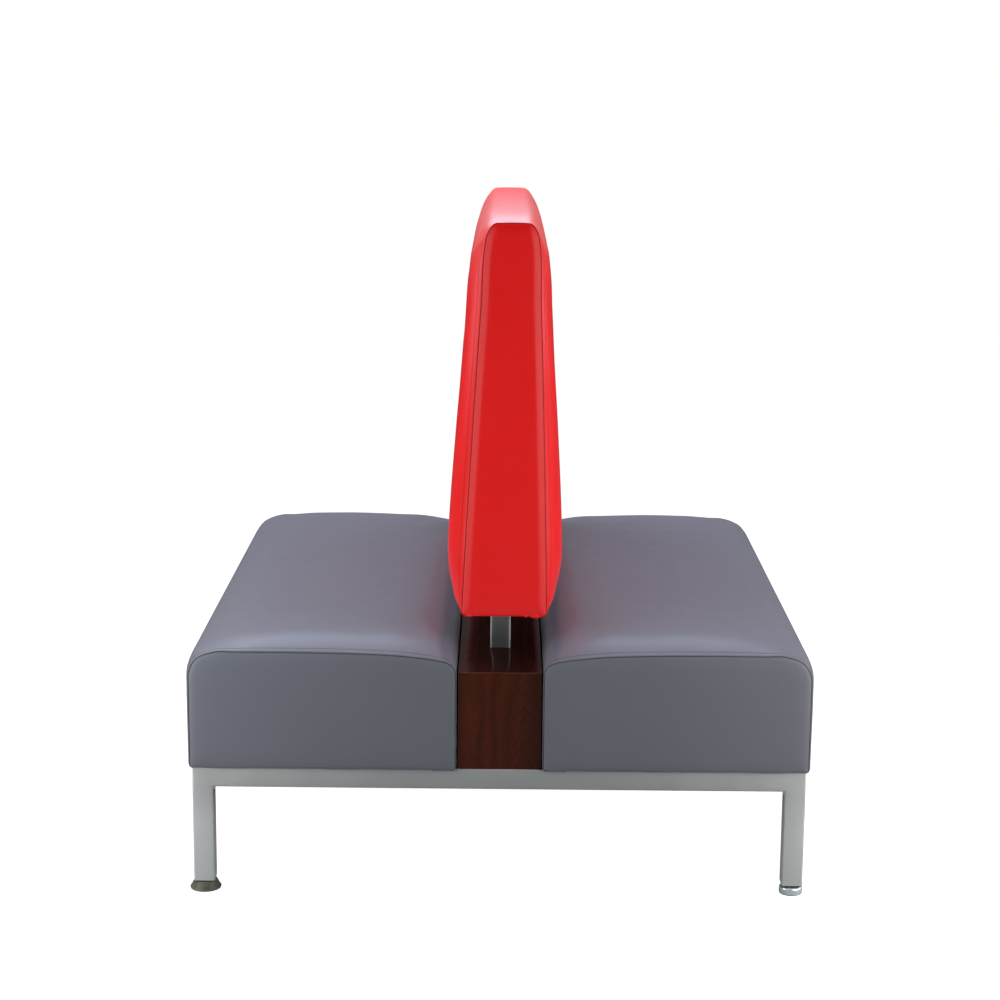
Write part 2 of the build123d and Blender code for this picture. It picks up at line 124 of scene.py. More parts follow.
softboxes = {  # place, what it is turned to, width, height, watts, tint
    "topSoftbox": ((0, 1.5, 3.6), (0, -0.2, 0.5), 3.0, 2.6, 14, (1.04, 0.76, 1.20)),
    "topLeftSoftbox": ((-1.6, 1.3, 2.6), (-0.4, 0, 0.47), 1.6, 1.6, 33.5, (0.92, 0.98, 1.10)),
    "topRightSoftbox": ((1.6, 1.3, 2.6), (0.4, 0, 0.47), 1.6, 1.6, 6.3, (0.81, 0.98, 1.21)),
    "overSoftbox": ((0, -0.3, 3.2), (0, -0.3, 0), 1.6, 1.6, 24.0, (0.91, 0.93, 1.14)),
    "overLeftSoftbox": ((-0.9, -0.2, 2.8), (-0.5, -0.1, 0.4), 0.9, 1.2, 1.8, (0.30, 0.60, 2.10)),
    "overRightSoftbox": ((0.9, -0.2, 2.8), (0.5, -0.1, 0.4), 0.9, 1.2, 5.6, (0.86, 0.72, 1.34)),
    "crestSoftbox": ((0, 0.9, 1.9), (0, -0.3, 1.1), 1.6, 0.5, 10.0, (0.78, 1.02, 1.20)),
    "leftSoftbox": ((-1.15, -1.10, 0.80), (0, -0.55, 0.55), 0.7, 1.5, 13.5, (0.98, 1.0, 1.02)),
    "rightSoftbox": ((1.15, -1.10, 0.80), (0, -0.55, 0.55), 0.7, 1.5, 12.4, (1.03, 0.98, 0.99)),
    "leftSlantSoftbox": ((-1.08, -2.6, 0.85), (-0.05, -0.55, 0.7), 0.38, 1.7, 4.9, (0.90, 1.06, 1.04)),
    "rightSlantSoftbox": ((1.12, -2.6, 0.85), (0.05, -0.55, 0.7), 0.38, 1.7, 5.5, (0.80, 1.10, 1.08)),
    "rightSideSoftbox": ((2.6, -0.6, 0.9), (0, -0.2, 0.6), 1.2, 1.2, 9.8, (1.14, 0.86, 1.0)),
    "leftFlankSoftbox": ((-1.9, 0.2, 1.3), (0, -0.2, 0.9), 0.8, 1.0, 4.2, (1.15, 0.85, 1.0)),
    "rightFlankSoftbox": ((1.9, 0.2, 1.3), (0, -0.2, 0.9), 0.8, 1.0, 4.0, (1.1, 0.85, 1.05)),
    "rightFill": ((3.1, 0.9, 1.5), (0, 0, 0.7), 2.0, 1.6, 5, (0.60, 1.24, 1.16)),
}


def addSoftbox(name, place, target, width, height, power, tint):
    light = bpy.data.lights.new(name, "AREA")
    light.shape = "RECTANGLE"
    light.size = width
    light.size_y = height
    light.energy = power
    light.color = tint
    box = bpy.data.objects.new(name, light)
    box.location = place
    box.rotation_euler = (Vector(target) - Vector(place)).to_track_quat("-Z", "Y").to_euler()
    box.visible_camera = False
    scene.collection.objects.link(box)


for name, values in softboxes.items():
    addSoftbox(name, *values)


def plainMesh(name, points, faces, smooth=True):
    mesh = bpy.data.meshes.new(name)
    mesh.from_pydata([tuple(p) for p in points], [], [tuple(f) for f in faces])
    mesh.validate()
    if smooth:
        mesh.shade_smooth()
    return mesh


def addPiece(name, mesh, body, material=None):
    piece = bpy.data.objects.new(name, mesh)
    scene.collection.objects.link(piece)
    if material:
        mesh.materials.clear()
        mesh.materials.append(material)
    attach(piece, body)
    return piece


floorStyle = {"size": 60.0, "tone": 0.30, "roughness": 0.9, "glow": 0.97}


def layFloor(style):
    material = bpy.data.materials.new("paleFloor")
    material.use_nodes = True
    tree = material.node_tree
    shader = tree.nodes["Principled BSDF"]
    for label, value in (
            ("Base Color", (style["tone"],) * 3 + (1,)), ("Roughness", style["roughness"]),
            ("Specular IOR Level", 0.0), ("Emission Strength", 1.0)):
        shader.inputs[label].default_value = value
    path = addNode(tree, "ShaderNodeLightPath")  # seen directly, the floor is near white
    seen = addNode(tree, "ShaderNodeMix", data_type="RGBA")
    seen.inputs[6].default_value = (0, 0, 0, 1)
    seen.inputs[7].default_value = (style["glow"],) * 3 + (1,)
    joinNodes(
        tree, (path.outputs["Is Camera Ray"], seen.inputs[0]),
        (seen.outputs[2], shader.inputs["Emission Color"]))
    half = style["size"] / 2
    corners = [(-half, -half, 0), (half, -half, 0), (half, half, 0), (-half, half, 0)]
    floor = bpy.data.objects.new("floor", plainMesh("floor", corners, [(0, 1, 2, 3)], False))
    floor.data.materials.append(material)
    scene.collection.objects.link(floor)


layFloor(floorStyle)
print("studio lit, softboxes:", len(softboxes))


# Curves and nets
def throughPoints(points, startWay=None, endWay=None, count=40):
    # Points spread evenly along one smooth line through the given points
    key = np.asarray(points, float)
    chord = np.linalg.norm(np.diff(key, axis=0), axis=1)
    slope = np.diff(key, axis=0) / chord[:, None]
    tangent = np.empty_like(key)
    mix = (chord[:-1] / (chord[:-1] + chord[1:]))[:, None]
    tangent[1:-1] = slope[:-1] * (1 - mix) + slope[1:] * mix
    tangent[0] = slope[0] if startWay is None else np.asarray(startWay, float)
    tangent[-1] = slope[-1] if endWay is None else np.asarray(endWay, float)
    fine = []
    t = np.linspace(0, 1, 25)[:-1, None]
    for i in range(len(key) - 1):
        a, b = key[i], key[i + 1]
        ta, tb = tangent[i] * chord[i], tangent[i + 1] * chord[i]
        fine.append(
            (2 * t**3 - 3 * t**2 + 1) * a + (t**3 - 2 * t**2 + t) * ta
            + (3 * t**2 - 2 * t**3) * b + (t**3 - t**2) * tb)
    fine.append(key[-1:])
    return evenly(np.concatenate(fine), count)


def evenly(line, count):
    line = np.asarray(line, float)
    run = np.concatenate([[0], np.cumsum(np.linalg.norm(np.diff(line, axis=0), axis=1))])
    at = np.linspace(0, run[-1], count)
    return np.stack([np.interp(at, run, line[:, k]) for k in range(line.shape[1])], 1)


def cubicAlong(values, at, axis):
    # A smooth cubic reading of a net at fractional places along one of its directions
    values = np.moveaxis(np.asarray(values, float), axis, 0)
    last = len(values) - 1
    base = np.clip(np.floor(at).astype(int), 0, last - 1)
    t = (at - base).reshape((-1,) + (1,) * (values.ndim - 1))
    p1, p2 = values[base], values[base + 1]
    p0 = np.where((base > 0).reshape(t.shape), values[np.maximum(base - 1, 0)], 2 * p1 - p2)
    p3 = np.where((base < last - 1).reshape(t.shape), values[np.minimum(base + 2, last)], 2 * p2 - p1)
    read = p1 + 0.5 * t * (p2 - p0 + t * (2 * p0 - 5 * p1 + 4 * p2 - p3 + t * (3 * (p1 - p2) + p3 - p0)))
    return np.moveaxis(read, 0, axis)


def coonsFill(bottom, top, left, right):
    # Net inside four edges: bottom and top run left to right, left and right run upwards
    n, m = len(bottom), len(left)
    u = np.linspace(0, 1, n)[:, None, None]
    v = np.linspace(0, 1, m)[None, :, None]
    edgeMix = (1 - v) * bottom[:, None] + v * top[:, None] + (1 - u) * left[None] + u * right[None]
    cornerMix = ((1 - u) * (1 - v) * bottom[0] + u * (1 - v) * bottom[-1]
                 + (1 - u) * v * top[0] + u * v * top[-1])
    return edgeMix - cornerMix


class Net:
    # Collects points and faces of one closed mesh
    def __init__(self):
        self.points, self.faces = [], []

    def add(self, points):
        start = len(self.points)
        self.points.extend(np.asarray(points, float).reshape(-1, 3).tolist())
        return np.arange(start, len(self.points))

    def quads(self, ids):
        for i in range(ids.shape[0] - 1):
            for j in range(ids.shape[1] - 1):
                self.faces.append((ids[i, j], ids[i + 1, j], ids[i + 1, j + 1], ids[i, j + 1]))

    def bridge(self, one, two):
        # Faces between two closed rings
        count = len(one)
        for i in range(count):
            k = (i + 1) % count
            self.faces.append((one[i], one[k], two[k], two[i]))

    def face(self, ids):
        self.faces.append(tuple(ids))

    def tube(self, rings):
        # Closed skin through a row of rings, with a face over each end
        for one, two in zip(rings, rings[1:]):
            self.bridge(one, two)
        self.face(rings[0])
        self.face(rings[-1][::-1])


def outwardMesh(name, net, merge=True):
    mesh = plainMesh(name, net.points, net.faces)
    work = bmesh.new()
    work.from_mesh(mesh)
    if merge:
        bmesh.ops.remove_doubles(work, verts=work.verts, dist=1e-6)
    bmesh.ops.recalc_face_normals(work, faces=work.faces)
    work.to_mesh(mesh)
    work.free()
    mesh.shade_smooth()
    return mesh


# Sewn cushions. A wrap goes over the sides and the top, a panel closes each end, and both are sewn together.
# The outline of a cushion runs from one foot over the top to the other foot.
seatStyle = {
    "outer": 0.5713, "inner": 0.0783, "low": 0.2391, "seam": 0.460, "length": 1.219,
    "outerRadius": 0.050, "middleRadius": 0.041, "footRadius": 0.0065, "sideBulge": 0.003,
    "crown": 0.0218, "shoulderIn": 0.090, "crownIn": 0.190, "reach": 0.092, "crestReach": 0.098,
    "sideInset": 0.0044, "innerInset": 0.0006, "sideReach": 0.040, "endInset": 0.0054,
    "pillow": 0.0040, "pillowRun": 0.0095, "bevel": 0.0, "bevelRun": 1.0, "groove": 1.0, "seamShade": 0.0011,
    "belly": 0.0014, "bellyRun": 0.055, "hem": 0.022, "skin": 0.0015, "deck": 0.3715,
    "innerEnd": (  # how far in and how far down the edge beside the beam is, at the ends
        (0.171, 0.0019), (0.106, 0.0047), (0.070, 0.0083), (0.040, 0.0122), (0.020, 0.0163), (0.006, 0.0245),
        (0, 0.0400)),
    "innerMiddle": (
        (0.171, 0.0016), (0.106, 0.0042), (0.073, 0.0083), (0.048, 0.0130), (0.026, 0.0205), (0.008, 0.0360),
        (0, 0.062)),
    "overCount": 65, "sideCount": 17, "footCount": 4, "corners": (24, 78),
}


def between(one, two, share):
    return one + (two - one) * share


def seatOutline(share, inset, crest, style=seatStyle):
    # share is 0 at an end and 1 in the middle of the length
    outer, inner = style["outer"] - inset, style["inner"] + inset * style["innerInset"] / style["sideInset"]
    low, top, foot = (style[k] for k in ("low", "seam", "footRadius"))
    r = between(style["outerRadius"], style["middleRadius"], share)
    lift, swell = style["crown"] * crest, style["sideBulge"] * share
    c = math.cos(math.pi / 4)
    bends = [  # the shoulder's arc takes a share of the swell and of the crown's lift
        (outer + swell, top - r), (outer + 0.8 * swell - r * (1 - c), top - r * (1 - c) + 0.02 * lift),
        (outer - r + 0.3 * swell, top + 0.12 * lift), (outer - style["shoulderIn"], top + 0.68 * lift),
        (outer - style["crownIn"], top + lift),
    ]
    for (endIn, endDrop), (middleIn, middleDrop) in zip(style["innerEnd"], style["innerMiddle"]):
        inwards, drop = between(endIn, middleIn, share), between(endDrop, middleDrop, share)
        bends.append((inner + inwards, top + lift - drop))
    over = throughPoints(bends, (0, 1), (0, -1), style["overCount"])
    turn = np.linspace(-math.pi / 2, 0, style["footCount"])
    footOut = np.stack([outer - foot + foot * np.cos(turn), low + foot + foot * np.sin(turn)], 1)
    footIn = np.stack([inner + foot - foot * np.cos(turn), low + foot + foot * np.sin(turn)], 1)[::-1]
    up = evenly([footOut[-1], over[0]], style["sideCount"])
    up[:, 0] = outer + swell * np.sin(math.pi / 2 * np.linspace(0, 1, style["sideCount"]))
    down = evenly([over[-1], footIn[0]], style["sideCount"])
    return np.concatenate([footOut[:-1], up[:-1], over[:-1], down[:-1], footIn])


backStyle = {
    "bottom": 0.5115, "shoulder": 1.201, "top": 1.229, "half": 0.5375,
    "footHalf": 0.0788, "headHalf": 0.0478, "waist": 0.0016, "footRadius": 0.0075,
    "crown": 0.010, "reach": 0.070, "crestReach": 0.19, "endInset": 0.0046,
    "bulges": (  # height over the bottom, and how far the flank swells there
        (0.018, 0.0125), (0.045, 0.021), (0.070, 0.0277), (0.105, 0.0325), (0.150, 0.0336), (0.200, 0.033)),
    "bulgeFoot": 0.0045, "bulgeKnee": 0.033, "bulgeHead": 0.0232,
    "corner": 0.0175, "round": 0.078, "squareness": 1.55, "flatHead": 1.05,
    "cornerTurns": (0.32, 0.62, 0.92, 1.18, 1.40),
    "crestLine": ((1.0, 0), (0.72, 0.0005), (0.4, 0.0008), (0, 0.0010)),  # share of its half width, and rise
    "pillow": 0.0009, "pillowRun": 0.0012, "bevel": 0.0030, "bevelRun": 0.0135, "groove": 0.30,
    "seamShade": 0.0018, "belly": 0.0005, "bellyRun": 0.05, "hem": 0.022, "skin": 0.0015,
    "offset": 0.006, "lean": 0.006, "endOffset": 0.0063, "endLean": 0.0099,
    "sideCount": 97, "footCount": 4, "corners": (87, 111),
}


def backOutline(share, inset, crestShare, style=backStyle):
    # As for a seat, but both flanks keep their line to the ends, so the inset stays 0
    bottom, shoulder, top, foot = (style[k] for k in ("bottom", "shoulder", "top", "footRadius"))

    def endHalf(level):
        part = (level - bottom) / (shoulder - bottom)
        return (between(style["footHalf"], style["headHalf"], part)
                + style["waist"] * (1 - share) * math.sin(math.pi * min(1, max(0, part))))

    turnLevel = shoulder - (style["round"] - style["corner"]) * share
    headHalf = endHalf(turnLevel) + style["bulgeHead"] * share
    crest = top + style["crown"] * crestShare
    crestHalf = (style["headHalf"] - style["corner"]) * (1 - (1 - style["flatHead"]) * share)
    flank = [(endHalf(bottom + rise) + bulge * share, bottom + rise) for rise, bulge in style["bulges"]]
    knee = bottom + style["bulges"][-1][0]
    for part in (0.25, 0.5, 0.75):
        level = knee + (turnLevel - knee) * part
        flank.append((endHalf(level) + between(style["bulgeKnee"], style["bulgeHead"], part) * share, level))
    drop, out = crest - turnLevel, headHalf - crestHalf
    power = 2 / style["squareness"]
    corner = [(headHalf, turnLevel)]
    for turned in style["cornerTurns"]:
        corner.append((
            headHalf - out * (1 - math.cos(turned) ** power), turnLevel + drop * math.sin(turned) ** power))
    corner += [(part * crestHalf, crest + rise) for part, rise in style["crestLine"]]
    start = (endHalf(bottom) + style["bulgeFoot"] * share, bottom + foot)
    way = np.array(flank[0]) - np.array(start)
    side = throughPoints([start, *flank, *corner], way / np.linalg.norm(way), (-1, 0), style["sideCount"])
    turn = np.linspace(-math.pi / 2, 0, style["footCount"])
    footLine = np.stack([start[0] - foot + foot * np.cos(turn), bottom + foot + foot * np.sin(turn)], 1)
    right = np.concatenate([footLine[:-1], side])
    outline = np.concatenate([right, right[-2::-1] * (-1, 1)])
    offset = between(style["endOffset"], style["offset"], share)
    lean = between(style["endLean"], style["lean"], share)
    outline[:, 0] += offset + lean * (outline[:, 1] - bottom) / (top - bottom)
    return outline


# Places along a cushion, between its end seams: coarse ones for the blow-up, fine ones for the sewing
coarseSteps = (0.007, 0.007, 0.008, 0.009, 0.010, 0.011, 0.011, 0.011, 0.011, 0.011)
coarseStep, fineStep = 0.011, 0.0078
fineRuns = np.array([
    0, 0.0006, 0.0014, 0.0024, 0.0038, 0.0056, 0.0078, 0.0090, 0.0096, 0.0100, 0.0104, 0.0110, 0.0124, 0.0150,
    0.019, 0.025, 0.032, 0.040, 0.050, 0.062, 0.075, 0.090, 0.105])
ringDepths = (0.0006, 0.0014, 0.0025, 0.0040, 0.0058)
sewing = {
    "seamDepth": 0.0018, "seamWidth": 0.0013, "panelShare": 0.6,
    "stitchRun": 0.0100,  # one of fineRuns, so that the stitches lie on a row of points
    "stitchDepth": 0.00018, "stitchWidth": 0.0011, "smoothRows": 8,
}
play = 0.0002  # between a cushion's skin and the timber inside


def coarseRuns(halfLength):
    near = np.cumsum([0.0, *coarseSteps])
    count = int(round(2 * (halfLength - near[-1]) / coarseStep)) + 1
    inside = np.linspace(near[-1], 2 * halfLength - near[-1], count)
    return np.concatenate([near[:-1], inside, 2 * halfLength - near[-2::-1]])


def fineRunsAlong(total):
    inner = np.linspace(fineRuns[-1], total - fineRuns[-1], int((total - 2 * fineRuns[-1]) / fineStep) + 1)
    return np.concatenate([fineRuns[:-1], inner, total - fineRuns[-2::-1]])


def shareAt(run, total, reach, power=2.2):
    near = np.minimum(run, total - run)
    return 1 - np.clip(1 - near / reach, 0, 1) ** power


def wrapGrid(style, outlineAt, runs, halfLength):
    total = runs[-1]
    shares = shareAt(runs, total, style["reach"])
    crests = shareAt(runs, total, style["crestReach"])
    insets = style.get("sideInset", 0) * (1 - shareAt(runs, total, style.get("sideReach", 1)))
    rows = []
    for run, share, inset, crest in zip(runs, shares, insets, crests):
        line = outlineAt(share, inset, crest)
        rows.append(np.stack([line[:, 0], np.full(len(line), run - halfLength), line[:, 1]], 1))
    return np.stack(rows, 1)


def outerNormals(grid):
    normal = np.cross(np.gradient(grid, axis=1), np.gradient(grid, axis=0))
    normal = normal / np.maximum(np.linalg.norm(normal, axis=2, keepdims=True), 1e-12)
    return -normal if normal[len(normal) // 2, :, 2].mean() < 0 else normal


def nearestRun(points, outline):
    # Distance of each (x, z) point from a closed outline
    a, b = outline, np.roll(outline, -1, axis=0)
    way = b - a
    length = np.maximum((way**2).sum(1), 1e-12)
    best = np.full(len(points), 1e9)
    for k in range(len(a)):
        t = np.clip(((points - a[k]) @ way[k]) / length[k], 0, 1)
        best = np.minimum(best, np.linalg.norm(points - a[k] - t[:, None] * way[k], axis=1))
    return best


def depthInside(fill, flat):
    return nearestRun(fill.reshape(-1, 3)[:, [0, 2]], flat).reshape(fill.shape[:2])


def insetLoop(outline, depth):
    # The outline (closed, x and z) moved inwards along its own normals
    before, after = np.roll(outline, 1, axis=0), np.roll(outline, -1, axis=0)
    one = outline - before
    two = after - outline
    one /= np.maximum(np.linalg.norm(one, axis=1, keepdims=True), 1e-9)
    two /= np.maximum(np.linalg.norm(two, axis=1, keepdims=True), 1e-9)
    bisector = np.stack([-(one + two)[:, 1], (one + two)[:, 0]], 1)
    bisector /= np.maximum(np.linalg.norm(bisector, axis=1, keepdims=True), 1e-9)
    centre = outline.mean(0)
    if ((centre - outline) * bisector).sum() < 0:
        bisector = -bisector
    cosine = np.clip((one * two).sum(1), -1, 1)
    stretch = 1 / np.sqrt(np.maximum((1 + cosine) / 2, 0.3))
    return outline + bisector * depth * stretch[:, None]


def panelRise(style, depth):
    # How far an end panel stands out, by the distance from its seam
    part = depth / style["bevelRun"]
    return (style["pillow"] * (1 - np.exp(-depth / style["pillowRun"]))
            + style["bevel"] * part / (1 + part**8) ** 0.125
            + style["belly"] * (1 - np.exp(-depth / style["bellyRun"])))


# The cloth that a cushion's cover is blown up as, and how much of the change is kept
softSim = {
    "under": 0.004, "freeRun": 0.06, "feetHeld": 4, "panelHeld": 0.6, "panelRun": 0.03,
    "quality": 4, "mass": 0.35, "stiffness": 30, "shear": 15, "bending": 6, "damping": 12, "bendDamping": 2,
    "pressure": 3.5, "pinStiffness": 1.0, "frames": 20, "cap": 0.009,
    "smoothing": 14, "keepBroad": 0.3, "keepFine": 0.22, "limit": 0.003, "seamRun": 0.006,
    "keepPanel": 0.4, "panelEdge": 0.02,
}


def simulateSkin(name, net, held, style=softSim):
    # Cloth blown up a little against its seams; returns where the points went
    skin = bpy.data.objects.new(name, outwardMesh(name, net, merge=False))
    scene.collection.objects.link(skin)
    group = skin.vertex_groups.new(name="held")
    for weight in sorted(set(held.round(2))):
        group.add([int(i) for i in np.nonzero(held.round(2) == weight)[0]], float(weight), "REPLACE")
    cloth = skin.modifiers.new("cloth", "CLOTH")
    setup = cloth.settings
    setup.quality = style["quality"]
    setup.mass = style["mass"]
    setup.tension_stiffness = setup.compression_stiffness = style["stiffness"]
    setup.shear_stiffness = style["shear"]
    setup.bending_stiffness = style["bending"]
    setup.tension_damping = setup.compression_damping = setup.shear_damping = style["damping"]
    setup.bending_damping = style["bendDamping"]
    setup.use_pressure = True
    setup.uniform_pressure_force = style["pressure"]
    setup.effector_weights.gravity = 0
    setup.vertex_group_mass = "held"
    setup.pin_stiffness = style["pinStiffness"]
    cloth.collision_settings.use_collision = False
    cloth.point_cache.frame_start = 1
    cloth.point_cache.frame_end = style["frames"]
    for step in range(1, style["frames"] + 1):
        scene.frame_set(step)
    graph = bpy.context.evaluated_depsgraph_get()
    moved = np.empty(len(net.points) * 3)
    skin.evaluated_get(graph).data.vertices.foreach_get("co", moved)
    rest = np.array(net.points)
    gone = moved.reshape(-1, 3) - rest
    far = np.linalg.norm(gone, axis=1, keepdims=True)
    bpy.data.objects.remove(skin)
    scene.frame_set(1)
    print("  ", name, "points", len(rest), "mean move mm", round(float(far.mean() * 1000), 2),
          "largest", round(float(far.max() * 1000), 2))
    return rest + gone * np.minimum(1, style["cap"] / np.maximum(far, 1e-9))


def blownUp(name, style, wanted, runs, held, sim=softSim):
    # The wrap after its blow-up, and how far the end panels moved out
    low, high = style["corners"]
    nearEnd = np.minimum(runs, runs[-1] - runs)
    normals = outerNormals(wanted)
    free = np.clip(nearEnd / sim["freeRun"], 0, 1)[None, :, None]
    start = wanted - normals * sim["under"] * free * (1 - held)[:, :, None]
    held[:, [0, -1]] = 1
    held[:sim["feetHeld"]] = held[-sim["feetHeld"]:] = 1
    net = Net()
    ids = net.add(start).reshape(start.shape[:2])
    net.quads(ids)
    weights, panels = [held.reshape(-1)], []
    for column, outwards in ((0, -1), (-1, 1)):
        line, edge = start[:, column], ids[:, column]
        bottomEdge = np.stack([line[0] + (line[-1] - line[0]) * t for t in np.linspace(0, 1, high - low + 1)])
        fill = coonsFill(bottomEdge, line[low:high + 1], line[:low + 1], line[high:][::-1])
        depth = depthInside(fill, np.concatenate([line, bottomEdge[-2:0:-1]])[:, [0, 2]])
        fill[:, :, 1] += outwards * panelRise(style, depth)
        panelIds = np.empty(fill.shape[:2], int)
        panelIds[1:-1, 1:-1] = net.add(fill[1:-1, 1:-1]).reshape(fill.shape[0] - 2, -1)
        panelIds[1:-1, 0] = net.add(fill[1:-1, 0])
        panelIds[0], panelIds[:, -1], panelIds[-1] = edge[:low + 1], edge[low:high + 1], edge[high:][::-1]
        net.quads(panelIds)
        weights.append(np.clip(1 - depth[1:-1, 1:-1] / sim["panelRun"], sim["panelHeld"], 1).reshape(-1))
        weights.append(np.ones(len(fill) - 2))
        panels.append((panelIds, fill))
    nearEdge, farEdge = (panelIds[1:-1, 0] for panelIds, fill in panels)
    net.face([*ids[0], *farEdge, *ids[-1, ::-1], *nearEdge[::-1]])
    moved = simulateSkin(name, net, np.concatenate(weights))
    off = ((moved[ids] - wanted) * normals).sum(2)
    broad = off.copy()
    for _ in range(sim["smoothing"]):
        broad[1:-1, 1:-1] = (broad[:-2, 1:-1] + broad[2:, 1:-1] + broad[1:-1, :-2] + broad[1:-1, 2:]) / 4
    limit = sim["limit"]
    keep = (sim["keepBroad"] * limit * np.tanh(broad / limit)
            + sim["keepFine"] * limit * np.tanh((off - broad) / limit))
    keep *= np.clip(nearEnd / sim["seamRun"], 0, 1)[None, :]
    print("   left of the blow-up, mm: mean", round(float(keep.mean() * 1000), 2), "lowest",
          round(float(keep.min() * 1000), 2), "highest", round(float(keep.max() * 1000), 2))
    shifts = [(moved[panelIds] - fill)[:, :, 1] for panelIds, fill in panels]
    return wanted + normals * keep[:, :, None], shifts


def sewnGrid(style, skin, runs, fine, pulled):
    # Finer wrap, with the seam's groove, the row of topstitches and the small unevenness of stretched vinyl
    grid = cubicAlong(skin, np.interp(fine, runs, np.arange(len(runs))), 1)
    grid = cubicAlong(grid, np.arange(0, len(skin) - 0.75, 0.5), 0)
    normal = outerNormals(grid)
    near = np.minimum(fine, fine[-1] - fine)[None, :]
    offRow = (near - sewing["stitchRun"]) / sewing["stitchWidth"]
    dent = -sewing["seamDepth"] * style["groove"] * np.exp(-((near / sewing["seamWidth"]) ** 1.3))
    dent = dent - sewing["stitchDepth"] * np.exp(-(offRow**2))
    dent = np.repeat(dent, grid.shape[0], 0) + pulled(grid, near)
    rows = sewing["smoothRows"]
    dent[:rows] *= np.linspace(0, 1, rows)[:, None]
    dent[-rows:] *= np.linspace(1, 0, rows)[:, None]
    return grid + normal * dent[:, :, None], normal


def addEndPanel(net, style, line, edge, outwards, shift):
    # An end panel sewn to the wrap's last line: rings beside the seam, then a net; returns its bottom edge
    low, high = (2 * corner for corner in style["corners"])
    bottomEdge = np.stack([line[-1] + (line[0] - line[-1]) * t for t in np.linspace(0, 1, high - low + 1)])
    flat = np.concatenate([line, bottomEdge[1:-1]])[:, [0, 2]]
    level = float(line[:, 1].mean())
    groove = sewing["seamDepth"] * style["groove"] * sewing["panelShare"]

    def pillow(depth):
        filled = 1 - np.exp(-depth / sewing["seamWidth"])
        return level + outwards * (panelRise(style, depth) + groove * filled)

    bottomIds = net.add(bottomEdge[1:-1])
    last = np.concatenate([edge, bottomIds])
    for depth in ringDepths:
        ring = insetLoop(flat, depth)
        ring = np.stack([ring[:, 0], np.full(len(ring), pillow(depth)), ring[:, 1]], 1)
        ringIds = net.add(ring)
        net.bridge(last, ringIds)
        last = ringIds
    end = len(line)
    inner = np.concatenate([ring[end - 1:], ring[:1]])[::-1]
    fill = coonsFill(inner, ring[low:high + 1], ring[:low + 1], ring[high:end][::-1])
    deep = depthInside(fill, flat)
    fill[:, :, 1] = pillow(deep)
    if shift is not None:
        for axis, reach in ((0, high - low), (1, low)):
            shift = cubicAlong(shift, np.arange(0, reach / 2 + 0.25, 0.5), axis)
        free = np.clip((deep - ringDepths[-1]) / softSim["panelEdge"], 0, 1)
        fill[:, :, 1] += softSim["keepPanel"] * shift * free
    ids = np.empty(fill.shape[:2], int)
    ids[1:-1, 1:-1] = net.add(fill[1:-1, 1:-1]).reshape(fill.shape[0] - 2, -1)
    ids[:, 0] = np.concatenate([last[end - 1:], last[:1]])[::-1]
    ids[0], ids[:, -1], ids[-1] = last[:low + 1], last[low:high + 1], last[high:end][::-1]
    net.quads(ids)
    return bottomIds


def addHollow(net, style, loopIds, box):
    # Hem under the foot, and the hollow that the timber box fills
    loop = np.array([net.points[i] for i in loopIds])
    centre = (loop[:, :2].max(0) + loop[:, :2].min(0)) / 2
    half = (loop[:, :2].max(0) - loop[:, :2].min(0)) / 2
    low = float(loop[:, 2].mean())
    inside = low + style["skin"] - play
    hemX, hemY = half - style["hem"]
    last = loopIds
    for halfX, halfY, height in (
            (hemX, hemY, low), (hemX, hemY, inside), (box["lowHalf"], box["halfLength"], inside),
            (box["highHalf"], box["halfLength"], box["top"])):
        ring = loop.copy()
        ring[:, 0] = box["middle"] + (loop[:, 0] - centre[0]) * halfX / half[0]
        ring[:, 1] = (loop[:, 1] - centre[1]) * halfY / half[1]
        ring[:, 2] = height
        ringIds = net.add(ring)
        net.bridge(last, ringIds)
        last = ringIds
    net.face(last)


def buildCushion(name, style, outlineAt, halfLength, heldAt, box, pulled):
    endHalf = halfLength - style["endInset"]
    runs = coarseRuns(endHalf)
    skin, shifts = wrapGrid(style, outlineAt, runs, endHalf), (None, None)
    skin, shifts = blownUp(name, style, skin, runs, heldAt(skin))
    fine = fineRunsAlong(runs[-1])
    grid, normal = sewnGrid(style, skin, runs, fine, pulled)
    for column, outwards in ((0, -1), (-1, 1)):
        grid[:, column, 1] -= outwards * sewing["seamDepth"] * style["groove"] * sewing["panelShare"]
    net = Net()
    ids = net.add(grid).reshape(grid.shape[:2])
    net.quads(ids)
    nearEdge, farEdge = (
        addEndPanel(net, style, grid[:, column], ids[:, column], outwards, shift)
        for column, outwards, shift in ((0, -1, shifts[0]), (-1, 1, shifts[1])))
    addHollow(net, style, np.concatenate([ids[0], farEdge[::-1], ids[-1, ::-1], nearEdge]), box)
    stitched = int(np.nonzero(np.isclose(fine, sewing["stitchRun"]))[0][0])
    paths = {
        "stitch": [grid[:, stitched], grid[:, -1 - stitched]],
        "seam": [grid[:, 0], grid[:, -1]],
        "stitchNormal": [normal[:, stitched], normal[:, -1 - stitched]],
    }
    return outwardMesh(name, net), paths


def markSewing(mesh, paths, seamShade):
    # How near each point lies to a seam (1 in it) and to a row of stitches, for the painted shade in the
    # seam's fold and the stitch holes
    for name, lines, width in (
            ("sewn", paths["seam"], seamShade), ("stitched", paths["stitch"], sewing["stitchWidth"])):
        dense = np.concatenate([evenly(line, 5000) for line in lines])
        tree = KDTree(len(dense))
        for index, point in enumerate(dense):
            tree.insert(point, index)
        tree.balance()
        near = [math.exp(-((tree.find(vertex.co)[2] / width) ** 2)) for vertex in mesh.vertices]
        mesh.attributes.new(name, "FLOAT", "POINT").data.foreach_set("value", near)


